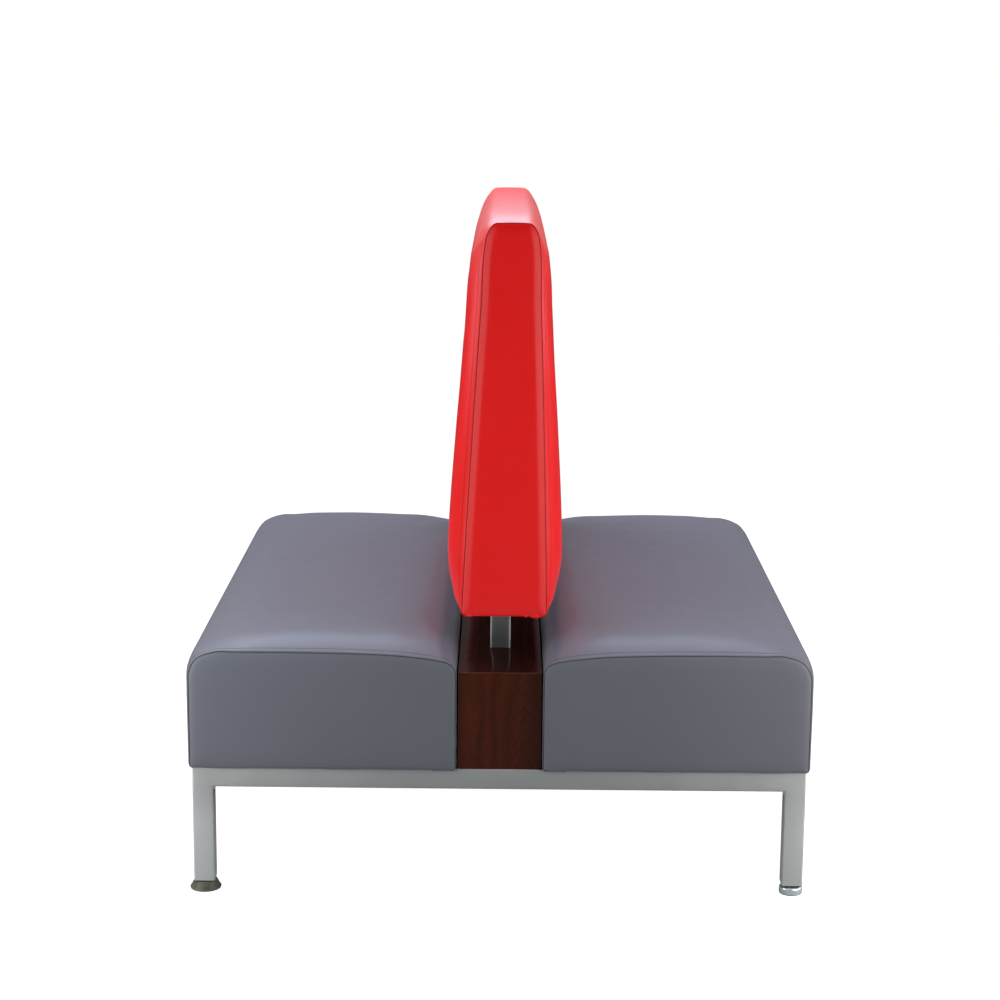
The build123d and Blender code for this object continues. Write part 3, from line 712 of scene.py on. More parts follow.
def seedNoise(points, scale, seed):
    # Smooth wandering value, about -1 to 1
    shift = Vector((seed * 7.1, seed * 3.3, seed * 5.7))
    flat = points.reshape(-1, 3)
    return np.array([noise.noise(Vector(p) * scale + shift) for p in flat]).reshape(points.shape[:-1])


def pulledSeams(corners, style):
    # Little puckers where stitching pulls the wrap, strongest round the corners of the panel
    def rise(grid, near):
        run = np.cumsum(np.concatenate([
            np.zeros((1, grid.shape[1])), np.linalg.norm(np.diff(grid, axis=0), axis=2)]), axis=0)
        wander = seedNoise(grid, style["wander"], style["seed"])
        fade = np.exp(-near / style["depth"]) * np.clip(near / style["seamRun"], 0, 1)
        waves = np.sin(2 * math.pi * (run / style["wave"] + 1.3 * wander)) * (0.6 + 0.4 * wander)
        strength = np.full(grid.shape[:2], style["along"])
        for index in corners:
            away = np.abs(run - run[2 * index][None, :])
            spread = style["spread"] * (1 + style["widening"] * near)
            strength = strength + style["atCorner"] * np.exp(-(away / spread) ** 2)
        return waves * fade * strength
    return rise


def heldBelow(level, fade, least, most=0.9):
    # How much of the blow-up a cushion's foot is spared, where the cover is stretched over timber
    return lambda points: np.clip((level - points[:, :, 2]) / fade, least, most)


# Shared surface effects
def newGroup(name, inputs, outputs):
    group = bpy.data.node_groups.new(name, "ShaderNodeTree")
    for label, kind, value in inputs:
        socket = group.interface.new_socket(label, in_out="INPUT", socket_type=kind)
        if value is not None:
            socket.default_value = value
    for label, kind in outputs:
        group.interface.new_socket(label, in_out="OUTPUT", socket_type=kind)
    return group, group.nodes.new("NodeGroupInput"), group.nodes.new("NodeGroupOutput")


def mathNode(tree, operation, one, two=None, three=None):
    node = addNode(tree, "ShaderNodeMath", operation=operation)
    for socket, value in zip(node.inputs, (one, two, three)):
        if isinstance(value, bpy.types.NodeSocket):
            tree.links.new(value, socket)
        elif value is not None:
            socket.default_value = value
    return node.outputs[0]


def noiseNode(tree, vector, scale, detail=3.0, roughness=0.5, distortion=0.0):
    node = addNode(tree, "ShaderNodeTexNoise", {
        "Detail": detail, "Roughness": roughness, "Distortion": distortion})
    tree.links.new(vector, node.inputs["Vector"])
    if isinstance(scale, bpy.types.NodeSocket):
        tree.links.new(scale, node.inputs["Scale"])
    else:
        node.inputs["Scale"].default_value = scale
    return node.outputs["Fac"]


def stretched(tree, vector, scale, turn=(0, 0, 0), place=(0, 0, 0)):
    node = addNode(tree, "ShaderNodeMapping", {"Scale": scale, "Rotation": turn, "Location": place})
    tree.links.new(vector, node.inputs["Vector"])
    return node.outputs[0]


def makeVinylGroup():
    # Pressed grain of coated fabric, with the slow changes of tone and gloss that handling leaves
    group, given, made = newGroup(
        "vinylGrain",
        [("Vector", "NodeSocketVector", None), ("Grain Scale", "NodeSocketFloat", 850.0),
         ("Cloud Scale", "NodeSocketFloat", 7.0)],
        [("Height", "NodeSocketFloat"), ("Tone", "NodeSocketFloat"), ("Gloss", "NodeSocketFloat")])
    cells = addNode(group, "ShaderNodeTexVoronoi", feature="SMOOTH_F1")
    group.links.new(given.outputs["Vector"], cells.inputs["Vector"])
    group.links.new(given.outputs["Grain Scale"], cells.inputs["Scale"])
    poreScale = mathNode(group, "MULTIPLY", given.outputs["Grain Scale"], 2.3)
    glossScale = mathNode(group, "MULTIPLY", given.outputs["Cloud Scale"], 5.0)
    pores = noiseNode(group, given.outputs["Vector"], poreScale, 2.0)
    lumps = mathNode(group, "MULTIPLY_ADD", pores, 0.35, cells.outputs["Distance"])
    tone = noiseNode(group, given.outputs["Vector"], given.outputs["Cloud Scale"], 3.0)
    gloss = noiseNode(group, given.outputs["Vector"], glossScale, 4.0)
    joinNodes(
        group, (lumps, made.inputs["Height"]), (tone, made.inputs["Tone"]), (gloss, made.inputs["Gloss"]))
    return group


def makeWoodGroup():
    # Sliced veneer, its grain along Z: fibres, broad soft stripes, arches where the cut runs flat, and pores
    group, given, made = newGroup(
        "woodFigure",
        [("Vector", "NodeSocketVector", None), ("Band Scale", "NodeSocketFloat", 22.0),
         ("Pore Scale", "NodeSocketFloat", 1500.0), ("Arch Place", "NodeSocketFloat", 0.045),
         ("Arch Step", "NodeSocketFloat", 0.024)],
        [("Figure", "NodeSocketFloat"), ("Pores", "NodeSocketFloat"), ("Ribbon", "NodeSocketFloat"),
         ("Arches", "NodeSocketFloat")])
    vector = given.outputs["Vector"]
    bend = noiseNode(group, stretched(group, vector, (1, 1, 0.30)), 7.0, 2.0, 0.5)
    wander = addNode(group, "ShaderNodeVectorMath", operation="MULTIPLY_ADD")
    wander.inputs[1].default_value = (0.16, 0.16, 0.0)
    group.links.new(bend, wander.inputs[0])
    group.links.new(stretched(group, vector, (1, 1, 0.10)), wander.inputs[2])
    bands = addNode(group, "ShaderNodeTexWave", {
        "Distortion": 3.0, "Detail": 4.0, "Detail Scale": 1.6, "Detail Roughness": 0.62},
        wave_type="BANDS", bands_direction="X")
    group.links.new(wander.outputs[0], bands.inputs["Vector"])
    group.links.new(given.outputs["Band Scale"], bands.inputs["Scale"])
    fibres = noiseNode(group, stretched(group, vector, (1, 1, 0.03)), 420.0, 3.0, 0.6)
    fibrous = mathNode(group, "MULTIPLY", fibres, 0.58)
    figure = mathNode(group, "MULTIPLY_ADD", bands.outputs["Fac"], 0.42, fibrous)
    pores = noiseNode(group, stretched(group, vector, (1, 1, 0.045)), given.outputs["Pore Scale"], 1.0)
    ribbon = noiseNode(group, stretched(group, vector, (1, 1, 0.45)), 16.0, 2.0)
    split = addNode(group, "ShaderNodeSeparateXYZ")
    group.links.new(vector, split.inputs[0])
    ragged = noiseNode(group, stretched(group, vector, (1, 1, 0.6)), 34.0, 3.0, 0.6)
    aside = mathNode(group, "SUBTRACT", split.outputs["X"], given.outputs["Arch Place"])
    aside = mathNode(group, "MULTIPLY_ADD", mathNode(group, "SUBTRACT", bend, 0.5), 0.016, aside)
    fallen = mathNode(group, "MULTIPLY_ADD", mathNode(group, "ABSOLUTE", aside), 1.5, split.outputs["Z"])
    fallen = mathNode(group, "MULTIPLY_ADD", ragged, 0.022, fallen)
    turns = mathNode(group, "DIVIDE", fallen, given.outputs["Arch Step"])
    ring = mathNode(group, "SINE", mathNode(group, "MULTIPLY", turns, 2 * math.pi))
    ring = mathNode(group, "POWER", mathNode(group, "MAXIMUM", ring, 0.0), 4.0)
    within = addNode(group, "ShaderNodeMapRange", {
        "From Min": 0.012, "From Max": 0.036, "To Min": 1.0, "To Max": 0.0}, interpolation_type="SMOOTHSTEP")
    group.links.new(mathNode(group, "ABSOLUTE", aside), within.inputs["Value"])
    arches = mathNode(group, "MULTIPLY", mathNode(group, "MULTIPLY", ring, within.outputs[0]), ragged)
    deepest = mathNode(group, "SMOOTH_MAX", mathNode(group, "SUBTRACT", pores, 0.56), 0.0, 0.05)
    joinNodes(
        group, (arches, made.inputs["Arches"]), (figure, made.inputs["Figure"]),
        (deepest, made.inputs["Pores"]), (ribbon, made.inputs["Ribbon"]))
    return group


def makeSmudgeGroup():
    # Handling marks and faint mottling on metal
    group, given, made = newGroup(
        "handledMetal",
        [("Vector", "NodeSocketVector", None), ("Fleck Scale", "NodeSocketFloat", 2600.0),
         ("Cloud Scale", "NodeSocketFloat", 14.0)],
        [("Flecks", "NodeSocketFloat"), ("Clouds", "NodeSocketFloat"), ("Scuffs", "NodeSocketFloat")])
    vector = given.outputs["Vector"]
    flecks = noiseNode(group, vector, given.outputs["Fleck Scale"], 1.0)
    clouds = noiseNode(group, vector, given.outputs["Cloud Scale"], 5.0, 0.6)
    streaks = noiseNode(group, stretched(group, vector, (1, 1, 0.15)), 140.0, 4.0, 0.65)
    scuffs = mathNode(group, "SMOOTH_MAX", mathNode(group, "SUBTRACT", streaks, 0.6), 0.0, 0.04)
    joinNodes(
        group, (flecks, made.inputs["Flecks"]), (clouds, made.inputs["Clouds"]),
        (scuffs, made.inputs["Scuffs"]))
    return group


def makeEdgeGroup():
    # Rubbed edges: where a rounded copy of the surface turns away from the real one
    group, given, made = newGroup(
        "rubbedEdges", [("Radius", "NodeSocketFloat", 0.002), ("Strength", "NodeSocketFloat", 1.0)],
        [("Mask", "NodeSocketFloat")])
    rounded = addNode(group, "ShaderNodeBevel", samples=3)
    real = addNode(group, "ShaderNodeNewGeometry")
    along = addNode(group, "ShaderNodeVectorMath", operation="DOT_PRODUCT")
    turned = mathNode(group, "MULTIPLY", mathNode(group, "SUBTRACT", 1.0, along.outputs["Value"]), 8.0)
    scaled = addNode(group, "ShaderNodeMath", operation="MULTIPLY", use_clamp=True)
    joinNodes(
        group, (given.outputs["Radius"], rounded.inputs["Radius"]), (rounded.outputs[0], along.inputs[0]),
        (real.outputs["Normal"], along.inputs[1]), (turned, scaled.inputs[0]),
        (given.outputs["Strength"], scaled.inputs[1]), (scaled.outputs[0], made.inputs["Mask"]))
    return group


vinylGroup, woodGroup = makeVinylGroup(), makeWoodGroup()
smudgeGroup, edgeGroup = makeSmudgeGroup(), makeEdgeGroup()


def startMaterial(name):
    material = bpy.data.materials.new(name)
    material.use_nodes = True
    tree = material.node_tree
    place = addNode(tree, "ShaderNodeTexCoord").outputs["Object"]
    return material, tree, tree.nodes["Principled BSDF"], place


def useGroup(tree, group, vector=None, **values):
    node = addNode(tree, "ShaderNodeGroup", node_tree=group)
    if vector is not None:
        tree.links.new(vector, node.inputs["Vector"])
    for label, value in values.items():
        node.inputs[label.replace("_", " ")].default_value = value
    return node


def colourMix(tree, factor, dark, light):
    mix = addNode(tree, "ShaderNodeMix", data_type="RGBA")
    for socket, value in ((mix.inputs[0], factor), (mix.inputs[6], dark), (mix.inputs[7], light)):
        if isinstance(value, bpy.types.NodeSocket):
            tree.links.new(value, socket)
        else:
            socket.default_value = value if isinstance(value, float) else (*value, 1)
    return mix.outputs[2]


def spread(tree, value, low, high, fromLow=0.3, fromHigh=0.7):
    node = addNode(tree, "ShaderNodeMapRange", {
        "From Min": fromLow, "From Max": fromHigh, "To Min": low, "To Max": high})
    tree.links.new(value, node.inputs["Value"])
    return node.outputs[0]


def alongAxes(tree, vector):
    node = addNode(tree, "ShaderNodeSeparateXYZ")
    tree.links.new(vector, node.inputs[0])
    return node.outputs


def setSurface(shader, **values):
    for label, value in values.items():
        shader.inputs[label.replace("_", " ")].default_value = value


def bump(tree, shader, height, depth, distance=0.0001):
    node = addNode(tree, "ShaderNodeBump", {"Strength": depth, "Distance": distance})
    tree.links.new(height, node.inputs["Height"])
    tree.links.new(node.outputs[0], shader.inputs["Normal"])


def vinyl(name, style):
    material, tree, shader, place = startMaterial(name)
    grain = useGroup(tree, vinylGroup, place, Grain_Scale=style["grain"], Cloud_Scale=style["cloud"])
    base = colourMix(tree, spread(tree, grain.outputs["Tone"], 0.0, 1.0), style["dark"], style["light"])
    rough = spread(tree, grain.outputs["Gloss"], style["roughness"] - 0.012, style["roughness"] + 0.018)
    if "shade" in style:  # the fold of a seam and the holes of a stitch row, where light doesn't reach
        for label, share in (("sewn", style["seamTone"]), ("stitched", style["rowTone"])):
            mark = addNode(tree, "ShaderNodeAttribute", attribute_name=label).outputs["Fac"]
            base = colourMix(tree, mathNode(tree, "MULTIPLY", mark, share), base, style["shade"])
            if label == "sewn":
                rough = mathNode(tree, "MULTIPLY_ADD", mark, 0.3, rough)
                if "dullSeam" in style:  # the pale gleam would wash the dark line out
                    gleam = mathNode(tree, "MULTIPLY_ADD", mark, -style["specular"], style["specular"])
                    tree.links.new(gleam, shader.inputs["Specular IOR Level"])
    joinNodes(tree, (base, shader.inputs["Base Color"]), (rough, shader.inputs["Roughness"]))
    setSurface(shader, Specular_IOR_Level=style["specular"], Sheen_Weight=style["sheen"], Sheen_Roughness=0.4)
    bump(tree, shader, grain.outputs["Height"], style["bump"])
    return material


def metal(name, style):
    style = {
        "fleck": 2600.0, "cloud": 14.0, "edgeRadius": 0.0015, "scuff": 0.5, "specular": 0.5, **style}
    material, tree, shader, place = startMaterial(name)
    marks = useGroup(tree, smudgeGroup, place, Fleck_Scale=style["fleck"], Cloud_Scale=style["cloud"])
    edge = useGroup(tree, edgeGroup, Radius=style["edgeRadius"], Strength=style["wear"])
    clouds, flecks = marks.outputs["Clouds"], marks.outputs["Flecks"]
    tone = colourMix(tree, spread(tree, clouds, 0.0, 1.0), style["dark"], style["light"])
    if "speckle" in style:
        speckle = spread(tree, flecks, 0.0, style["speckle"], *style["speckleRun"])
        tone = colourMix(tree, speckle, tone, style["dark"])
    rubbed = mathNode(tree, "MULTIPLY", marks.outputs["Scuffs"], style["scuff"])
    base = colourMix(tree, edge.outputs["Mask"], colourMix(tree, rubbed, tone, style["worn"]), style["worn"])
    if "low" in style:  # painted light and shade: the paint is paler low down, where the floor lights it, and darker in the middle of the rails
        spot = alongAxes(tree, place)
        middle = spread(tree, mathNode(tree, "ABSOLUTE", spot["X"]), 1.0, 0.0, *style["middleRun"])
        base = colourMix(tree, middle, base, style["middle"])
        base = colourMix(tree, spread(tree, spot["Z"], 1.0, 0.0, *style["lowRun"]), base, style["low"])
    if "cornerGlint" in style:  # painted highlight: the corners of the square tube are paler and less metallic, standing in for the bright room's glints on them
        facing = alongAxes(tree, tree.nodes["Texture Coordinate"].outputs["Normal"])
        across = mathNode(tree, "ABSOLUTE", mathNode(tree, "MULTIPLY", facing["X"], facing["Y"]))
        corner = spread(tree, across, 0.0, style["cornerGlintShare"], *style["cornerGlintRun"])
        base = colourMix(tree, corner, base, style["cornerGlint"])
        dull = mathNode(tree, "MULTIPLY_ADD", corner, -style["metallic"], style["metallic"])
        tree.links.new(dull, shader.inputs["Metallic"])
    rough = spread(tree, clouds, style["roughness"] - 0.05, style["roughness"] + 0.07)
    joinNodes(tree, (base, shader.inputs["Base Color"]), (rough, shader.inputs["Roughness"]))
    setSurface(shader, Metallic=style["metallic"], Specular_IOR_Level=style["specular"])
    bump(tree, shader, flecks, style["bump"])
    return material


def wood(name, style):
    style = {"edgeRadius": 0.0012, "wear": 0.35, "specular": 0.4, **style}
    material, tree, shader, place = startMaterial(name)
    laid = stretched(tree, place, (1, 1, 1), style["turn"], style["place"])
    veneer = useGroup(tree, woodGroup, laid, Band_Scale=style["bands"], Pore_Scale=style["pores"])
    figure, ribbon, pores = (veneer.outputs[label] for label in ("Figure", "Ribbon", "Pores"))
    edge = useGroup(tree, edgeGroup, Radius=style["edgeRadius"], Strength=style["wear"])
    aside = alongAxes(tree, place)["X"]
    base = colourMix(tree, spread(tree, figure, 0.0, 1.0, 0.1, 0.9), style["dark"], style["light"])
    base = colourMix(tree, spread(tree, ribbon, 0.0, style["ribbon"]), base, style["light"])
    if "arches" in style:
        veneer.inputs["Arch Place"].default_value = style["archPlace"]
        arches = mathNode(tree, "MULTIPLY", veneer.outputs["Arches"], style["arches"])
        base = colourMix(tree, arches, base, style["pore"])
    for tone, start, stop, fromX, toX in style.get("paintedLightShade", ()):  # painted light and shade: darker or paler towards an edge
        base = colourMix(tree, spread(tree, aside, start, stop, fromX, toX), base, style[tone])
    if "side" in style:  # painted light: the top is paler and warmer along both long edges
        off = mathNode(tree, "ABSOLUTE", mathNode(tree, "SUBTRACT", aside, style["middle"]))
        base = colourMix(tree, spread(tree, off, 0.0, 1.0, *style["sideRun"]), base, style["side"])
    base = colourMix(tree, mathNode(tree, "MULTIPLY", pores, style["poreDepth"]), base, style["pore"])
    base = colourMix(tree, edge.outputs["Mask"], base, style["worn"])
    rough = spread(tree, ribbon, style["roughness"], style["roughness"] + 0.06)
    joinNodes(tree, (base, shader.inputs["Base Color"]), (rough, shader.inputs["Roughness"]))
    setSurface(
        shader, Specular_IOR_Level=style["specular"], Coat_Weight=style["coat"],
        Coat_Roughness=style["coatRoughness"])
    bump(tree, shader, pores, style["bump"])
    return material


finishes = {
    "greyVinyl": vinyl("greyVinyl", {
        "dark": (0.128, 0.131, 0.150), "light": (0.133, 0.136, 0.156), "grain": 850.0, "cloud": 5.0,
        "roughness": 0.38, "specular": 0.30, "sheen": 0.03, "bump": 0.30, "shade": (0.012, 0.010, 0.012),
        "seamTone": 0.95, "rowTone": 0.0}),
    "redVinyl": vinyl("redVinyl", {
        "dark": (0.79, 0.0068, 0.0062), "light": (0.805, 0.0072, 0.0066), "grain": 850.0, "cloud": 5.0,
        "roughness": 0.31, "specular": 0.54, "sheen": 0.0, "bump": 0.25, "shade": (0.36, 0.002, 0.003),
        "seamTone": 1.0, "rowTone": 0.20, "dullSeam": True}),
    "greyThread": vinyl("greyThread", {
        "dark": (0.012, 0.017, 0.020), "light": (0.020, 0.027, 0.031), "grain": 4000.0, "cloud": 60.0,
        "roughness": 0.6, "specular": 0.2, "sheen": 0.0, "bump": 0.5}),
    "redThread": vinyl("redThread", {
        "dark": (0.40, 0.003, 0.004), "light": (0.50, 0.004, 0.005), "grain": 4000.0, "cloud": 60.0,
        "roughness": 0.6, "specular": 0.2, "sheen": 0.0, "bump": 0.5}),
    # silver paint, with painted light low on the legs and painted shade in the middle of the rails
    "silverPaint": metal("silverPaint", {
        "dark": (0.420, 0.421, 0.404), "light": (0.488, 0.489, 0.466), "worn": (0.62, 0.62, 0.60),
        "roughness": 0.50, "metallic": 0.60, "bump": 0.25, "wear": 0.25, "low": (0.560, 0.565, 0.545),
        "lowRun": (0.13, 0.20), "middle": (0.380, 0.381, 0.365), "middleRun": (0.20, 0.54)}),
    # post steel, with a painted highlight on the tube's corners
    "postSteel": metal("postSteel", {
        "dark": (0.245, 0.245, 0.253), "light": (0.295, 0.293, 0.302), "worn": (0.52, 0.53, 0.55),
        "roughness": 0.33, "metallic": 0.75, "bump": 0.15, "wear": 0.3, "cornerGlint": (0.90, 0.91, 0.93),
        "cornerGlintShare": 0.6, "cornerGlintRun": (0.05, 0.40)}),
    "mahoganyEnd": wood("mahoganyEnd", {
        "dark": (0.030, 0.0064, 0.0025), "light": (0.082, 0.0153, 0.0050), "pore": (0.010, 0.003, 0.002),
        "worn": (0.20, 0.10, 0.06), "turn": (0, 0, 0), "place": (0.013, 0.0, 0.21), "bands": 9.0,
        "pores": 1400.0, "ribbon": 0.30, "poreDepth": 4.0, "roughness": 0.34, "specular": 0.12,
        "coat": 0.05, "coatRoughness": 0.12, "bump": 0.15, "arches": 0.9, "archPlace": 0.058,
        "paintedLightShade": (  # painted light and shade, paler on the left where light falls and darker to the right in the seats' shade: finish, how much of it from here to there, along X
            ("dark", 0.0, 0.36, -0.05, 0.0), ("dark", 0.0, 0.36, 0.054, 0.078),
            ("light", 0.468, 0.0, -0.076, -0.03))}),
    # painted shade: the top's veneer is given a darker colour than the ends', for the shade under the back
    "mahoganyTop": wood("mahoganyTop", {
        "dark": (0.011, 0.0047, 0.0038), "light": (0.030, 0.0085, 0.0062), "pore": (0.005, 0.002, 0.0018),
        "worn": (0.20, 0.10, 0.06), "turn": (math.pi / 2, 0, 0), "place": (0.03, 0.0, 0.0), "bands": 9.0,
        "pores": 1400.0, "ribbon": 0.30, "poreDepth": 4.0, "roughness": 0.38, "specular": 0.0,
        # the side tone is painted light along the top's two long edges
        "coat": 0.24, "coatRoughness": 0.09, "bump": 0.15, "side": (0.058, 0.0165, 0.0140),
        "middle": 0.010, "sideRun": (0.045, 0.086)}),
    "plywood": wood("plywood", {
        "dark": (0.42, 0.29, 0.16), "light": (0.62, 0.47, 0.30), "pore": (0.30, 0.19, 0.10),
        "worn": (0.70, 0.58, 0.42), "turn": (math.pi / 2, 0, 0), "place": (0, 0, 0), "bands": 14.0,
        "pores": 900.0, "ribbon": 0.5, "poreDepth": 3.0, "roughness": 0.62, "coat": 0.0,
        "coatRoughness": 0.5, "bump": 0.4}),
    "chrome": metal("chrome", {
        "dark": (0.66, 0.80, 0.79), "light": (0.76, 0.88, 0.87), "worn": (0.90, 0.94, 0.94),
        "roughness": 0.10, "metallic": 0.60, "bump": 0.03, "wear": 0.2, "cloud": 30.0}),
    "bronze": metal("bronze", {
        "dark": (0.055, 0.060, 0.040), "light": (0.155, 0.165, 0.115), "worn": (0.26, 0.26, 0.19),
        "roughness": 0.58, "metallic": 0.20, "bump": 0.5, "wear": 0.6, "cloud": 95.0, "fleck": 620.0,
        "scuff": 2.0, "speckle": 1.0, "speckleRun": (0.40, 0.62)}),
    "zinc": metal("zinc", {
        "dark": (0.42, 0.42, 0.40), "light": (0.58, 0.58, 0.55), "worn": (0.70, 0.70, 0.68),
        "roughness": 0.34, "metallic": 0.95, "bump": 0.2, "wear": 0.4, "cloud": 60.0}),
    "nylon": vinyl("nylon", {
        "dark": (0.15, 0.135, 0.115), "light": (0.23, 0.215, 0.19), "grain": 1800.0, "cloud": 40.0,
        "roughness": 0.55, "specular": 0.4, "sheen": 0.0, "bump": 0.4}),
    "blackPlug": vinyl("blackPlug", {
        "dark": (0.010, 0.010, 0.011), "light": (0.022, 0.022, 0.023), "grain": 1500.0, "cloud": 40.0,
        "roughness": 0.5, "specular": 0.4, "sheen": 0.0, "bump": 0.4}),
}


def clothFinish(name, style):
    # Thin woven dust cloth: two sets of threads crossing
    material, tree, shader, place = startMaterial(name)
    waves = []
    for direction in ("X", "Y"):
        wave = addNode(tree, "ShaderNodeTexWave", {
            "Scale": style["threads"], "Distortion": 0.4}, bands_direction=direction)
        tree.links.new(place, wave.inputs["Vector"])
        waves.append(wave.outputs["Fac"])
    weave = mathNode(tree, "MULTIPLY", *waves)
    tree.links.new(colourMix(tree, weave, style["dark"], style["light"]), shader.inputs["Base Color"])
    setSurface(shader, Roughness=style["roughness"], Sheen_Weight=style["sheen"])
    bump(tree, shader, weave, style["bump"], 0.0002)
    return material


finishes["dustCloth"] = clothFinish("dustCloth", {
    "dark": (0.008, 0.008, 0.009), "light": (0.03, 0.03, 0.032), "threads": 260.0, "roughness": 0.9,
    "sheen": 0.3, "bump": 0.6})
print("finishes mixed:", len(finishes))


# Trees that lay copies of one small thing along a line or on given places
def startTree(name, inputs, output):
    tree = bpy.data.node_groups.new(name, "GeometryNodeTree")
    for label, kind, value in inputs:
        socket = tree.interface.new_socket(label, in_out="INPUT", socket_type=kind)
        if value is not None:
            socket.default_value = value
    tree.interface.new_socket(output, in_out="OUTPUT", socket_type="NodeSocketGeometry")
    return tree, tree.nodes.new("NodeGroupInput").outputs, tree.nodes.new("NodeGroupOutput")


def addChance(tree):
    # A random number for each place: the node's two limits, its seed and what it gives
    chance = addNode(tree, "FunctionNodeRandomValue", data_type="FLOAT")
    low, high = [socket for socket in chance.inputs if socket.type == "VALUE"][:2]
    given = [socket for socket in chance.outputs if socket.type == "VALUE"][0]
    return low, high, chance.inputs["Seed"], given


def placeCopies(tree, places, model, turn, scale, material, made):
    placed = tree.nodes.new("GeometryNodeInstanceOnPoints")
    real = tree.nodes.new("GeometryNodeRealizeInstances")
    painted = tree.nodes.new("GeometryNodeSetMaterial")
    joinNodes(
        tree, (places, placed.inputs["Points"]), (model, placed.inputs["Instance"]),
        (turn, placed.inputs["Rotation"]), (placed.outputs["Instances"], real.inputs["Geometry"]),
        (real.outputs["Geometry"], painted.inputs["Geometry"]), (material, painted.inputs["Material"]),
        (painted.outputs["Geometry"], made.inputs[0]))
    if scale is not None:
        tree.links.new(scale, placed.inputs["Scale"])


def makeStitchTree():
    # Rows of stitches along a sewn line, each stitch a short rounded thread
    tree, given, made = startTree("stitchRow", (
        ("Line", "NodeSocketGeometry", None), ("Pitch", "NodeSocketFloat", 0.004),
        ("Stitch Length", "NodeSocketFloat", 0.0032), ("Thread Radius", "NodeSocketFloat", 0.0004),
        ("Unevenness", "NodeSocketFloat", 0.08), ("Seed", "NodeSocketInt", 3),
        ("Thread", "NodeSocketMaterial", None)), "Stitches")
    curve = tree.nodes.new("GeometryNodeMeshToCurve")
    spaced = tree.nodes.new("GeometryNodeResampleCurve")
    spaced.mode = "LENGTH"
    thread = addNode(tree, "GeometryNodeMeshUVSphere", {"Segments": 6, "Rings": 4, "Radius": 1.0})
    size = tree.nodes.new("ShaderNodeCombineXYZ")
    shaped = tree.nodes.new("GeometryNodeTransform")
    way = tree.nodes.new("GeometryNodeInputTangent")
    turn = addNode(tree, "FunctionNodeAlignEulerToVector", axis="Z")
    least, most, seed, scale = addChance(tree)
    joinNodes(
        tree, (given["Line"], curve.inputs["Mesh"]), (curve.outputs["Curve"], spaced.inputs["Curve"]),
        (given["Pitch"], spaced.inputs["Length"]), (given["Thread Radius"], size.inputs["X"]),
        (given["Thread Radius"], size.inputs["Y"]),
        (mathNode(tree, "MULTIPLY", given["Stitch Length"], 0.5), size.inputs["Z"]),
        (thread.outputs["Mesh"], shaped.inputs["Geometry"]), (size.outputs[0], shaped.inputs["Scale"]),
        (way.outputs[0], turn.inputs["Vector"]), (given["Seed"], seed),
        (mathNode(tree, "SUBTRACT", 1.0, given["Unevenness"]), least),
        (mathNode(tree, "ADD", 1.0, given["Unevenness"]), most))
    places, model = spaced.outputs["Curve"], shaped.outputs["Geometry"]
    placeCopies(tree, places, model, turn.outputs[0], scale, given["Thread"], made)
    return tree


def treeMesh(name, tree, guide, values):
    # What a tree makes of a guide, as a plain mesh
    carrier = bpy.data.objects.new(name + "Guide", guide)
    scene.collection.objects.link(carrier)
    rowed = carrier.modifiers.new("row", "NODES")
    rowed.node_group = tree
    sockets = {item.name: item.identifier for item in tree.interface.items_tree if item.in_out == "INPUT"}
    for label, value in values.items():
        rowed[sockets[label]] = value
    bpy.context.view_layer.update()
    graph = bpy.context.evaluated_depsgraph_get()
    mesh = bpy.data.meshes.new_from_object(carrier.evaluated_get(graph))
    mesh.name = name
    bpy.data.objects.remove(carrier)
    return mesh


stitchRow = makeStitchTree()
topStitch = {
    "Pitch": 0.0045, "Stitch Length": 0.0025, "Thread Radius": 0.00130, "Unevenness": 0.07, "Seed": 4}
seamStitch = {
    "Pitch": 0.0040, "Stitch Length": 0.0024, "Thread Radius": 0.00038, "Unevenness": 0.12, "Seed": 9}
stitchLift = {"TopStitches": -0.00045, "SeamStitches": 0.0004}


def sewRow(name, lines, style, thread):
    points, edges = [], []
    for line in lines:
        start = len(points)
        points.extend(line.tolist())
        edges.extend((k, k + 1) for k in range(start, len(points) - 1))
    guide = bpy.data.meshes.new(name + "Guide")
    guide.from_pydata(points, edges, [])
    mesh = treeMesh(name, stitchRow, guide, {**style, "Thread": thread})
    if not mesh.materials:
        mesh.materials.append(thread)
    addPiece(name, mesh, "bench", None)
    print("  ", name, "faces", len(mesh.polygons))


def sewCushion(name, paths, thread, turn=(1, 1, 1)):
    for label, path, style in (("TopStitches", "stitch", topStitch), ("SeamStitches", "seam", seamStitch)):
        lift = stitchLift[label]
        rows = [line + normal * lift for line, normal in zip(paths[path], paths["stitchNormal"])]
        sewRow(name + label, [row * turn for row in rows], style, thread)


def smoothStep(t):
    t = min(1.0, max(0.0, t))
    return t * t * (3 - 2 * t)


hemStyle = {  # each fold: where it starts and stops along X, how deep it hangs, how softly it sets in
    "folds": ((0.0800, 0.124, 0.0016, 0.004), (0.245, 0.33, 0.0006, 0.03), (0.44, 0.54, 0.0007, 0.04)),
    "beyond": 0.5985, "height": 0.005,
}


def sagHem(mesh, level, style=hemStyle):
    # The hem of the cover hangs a little over the rail in places
    for vertex in mesh.vertices:
        x, y, z = vertex.co
        if abs(y) > style["beyond"] and z < level + style["height"]:
            drop = sum(
                deep * smoothStep((x - start) / soft) * smoothStep((stop - x) / soft)
                for start, stop, deep, soft in style["folds"])
            vertex.co.z -= drop * (1 - (z - level) / style["height"])


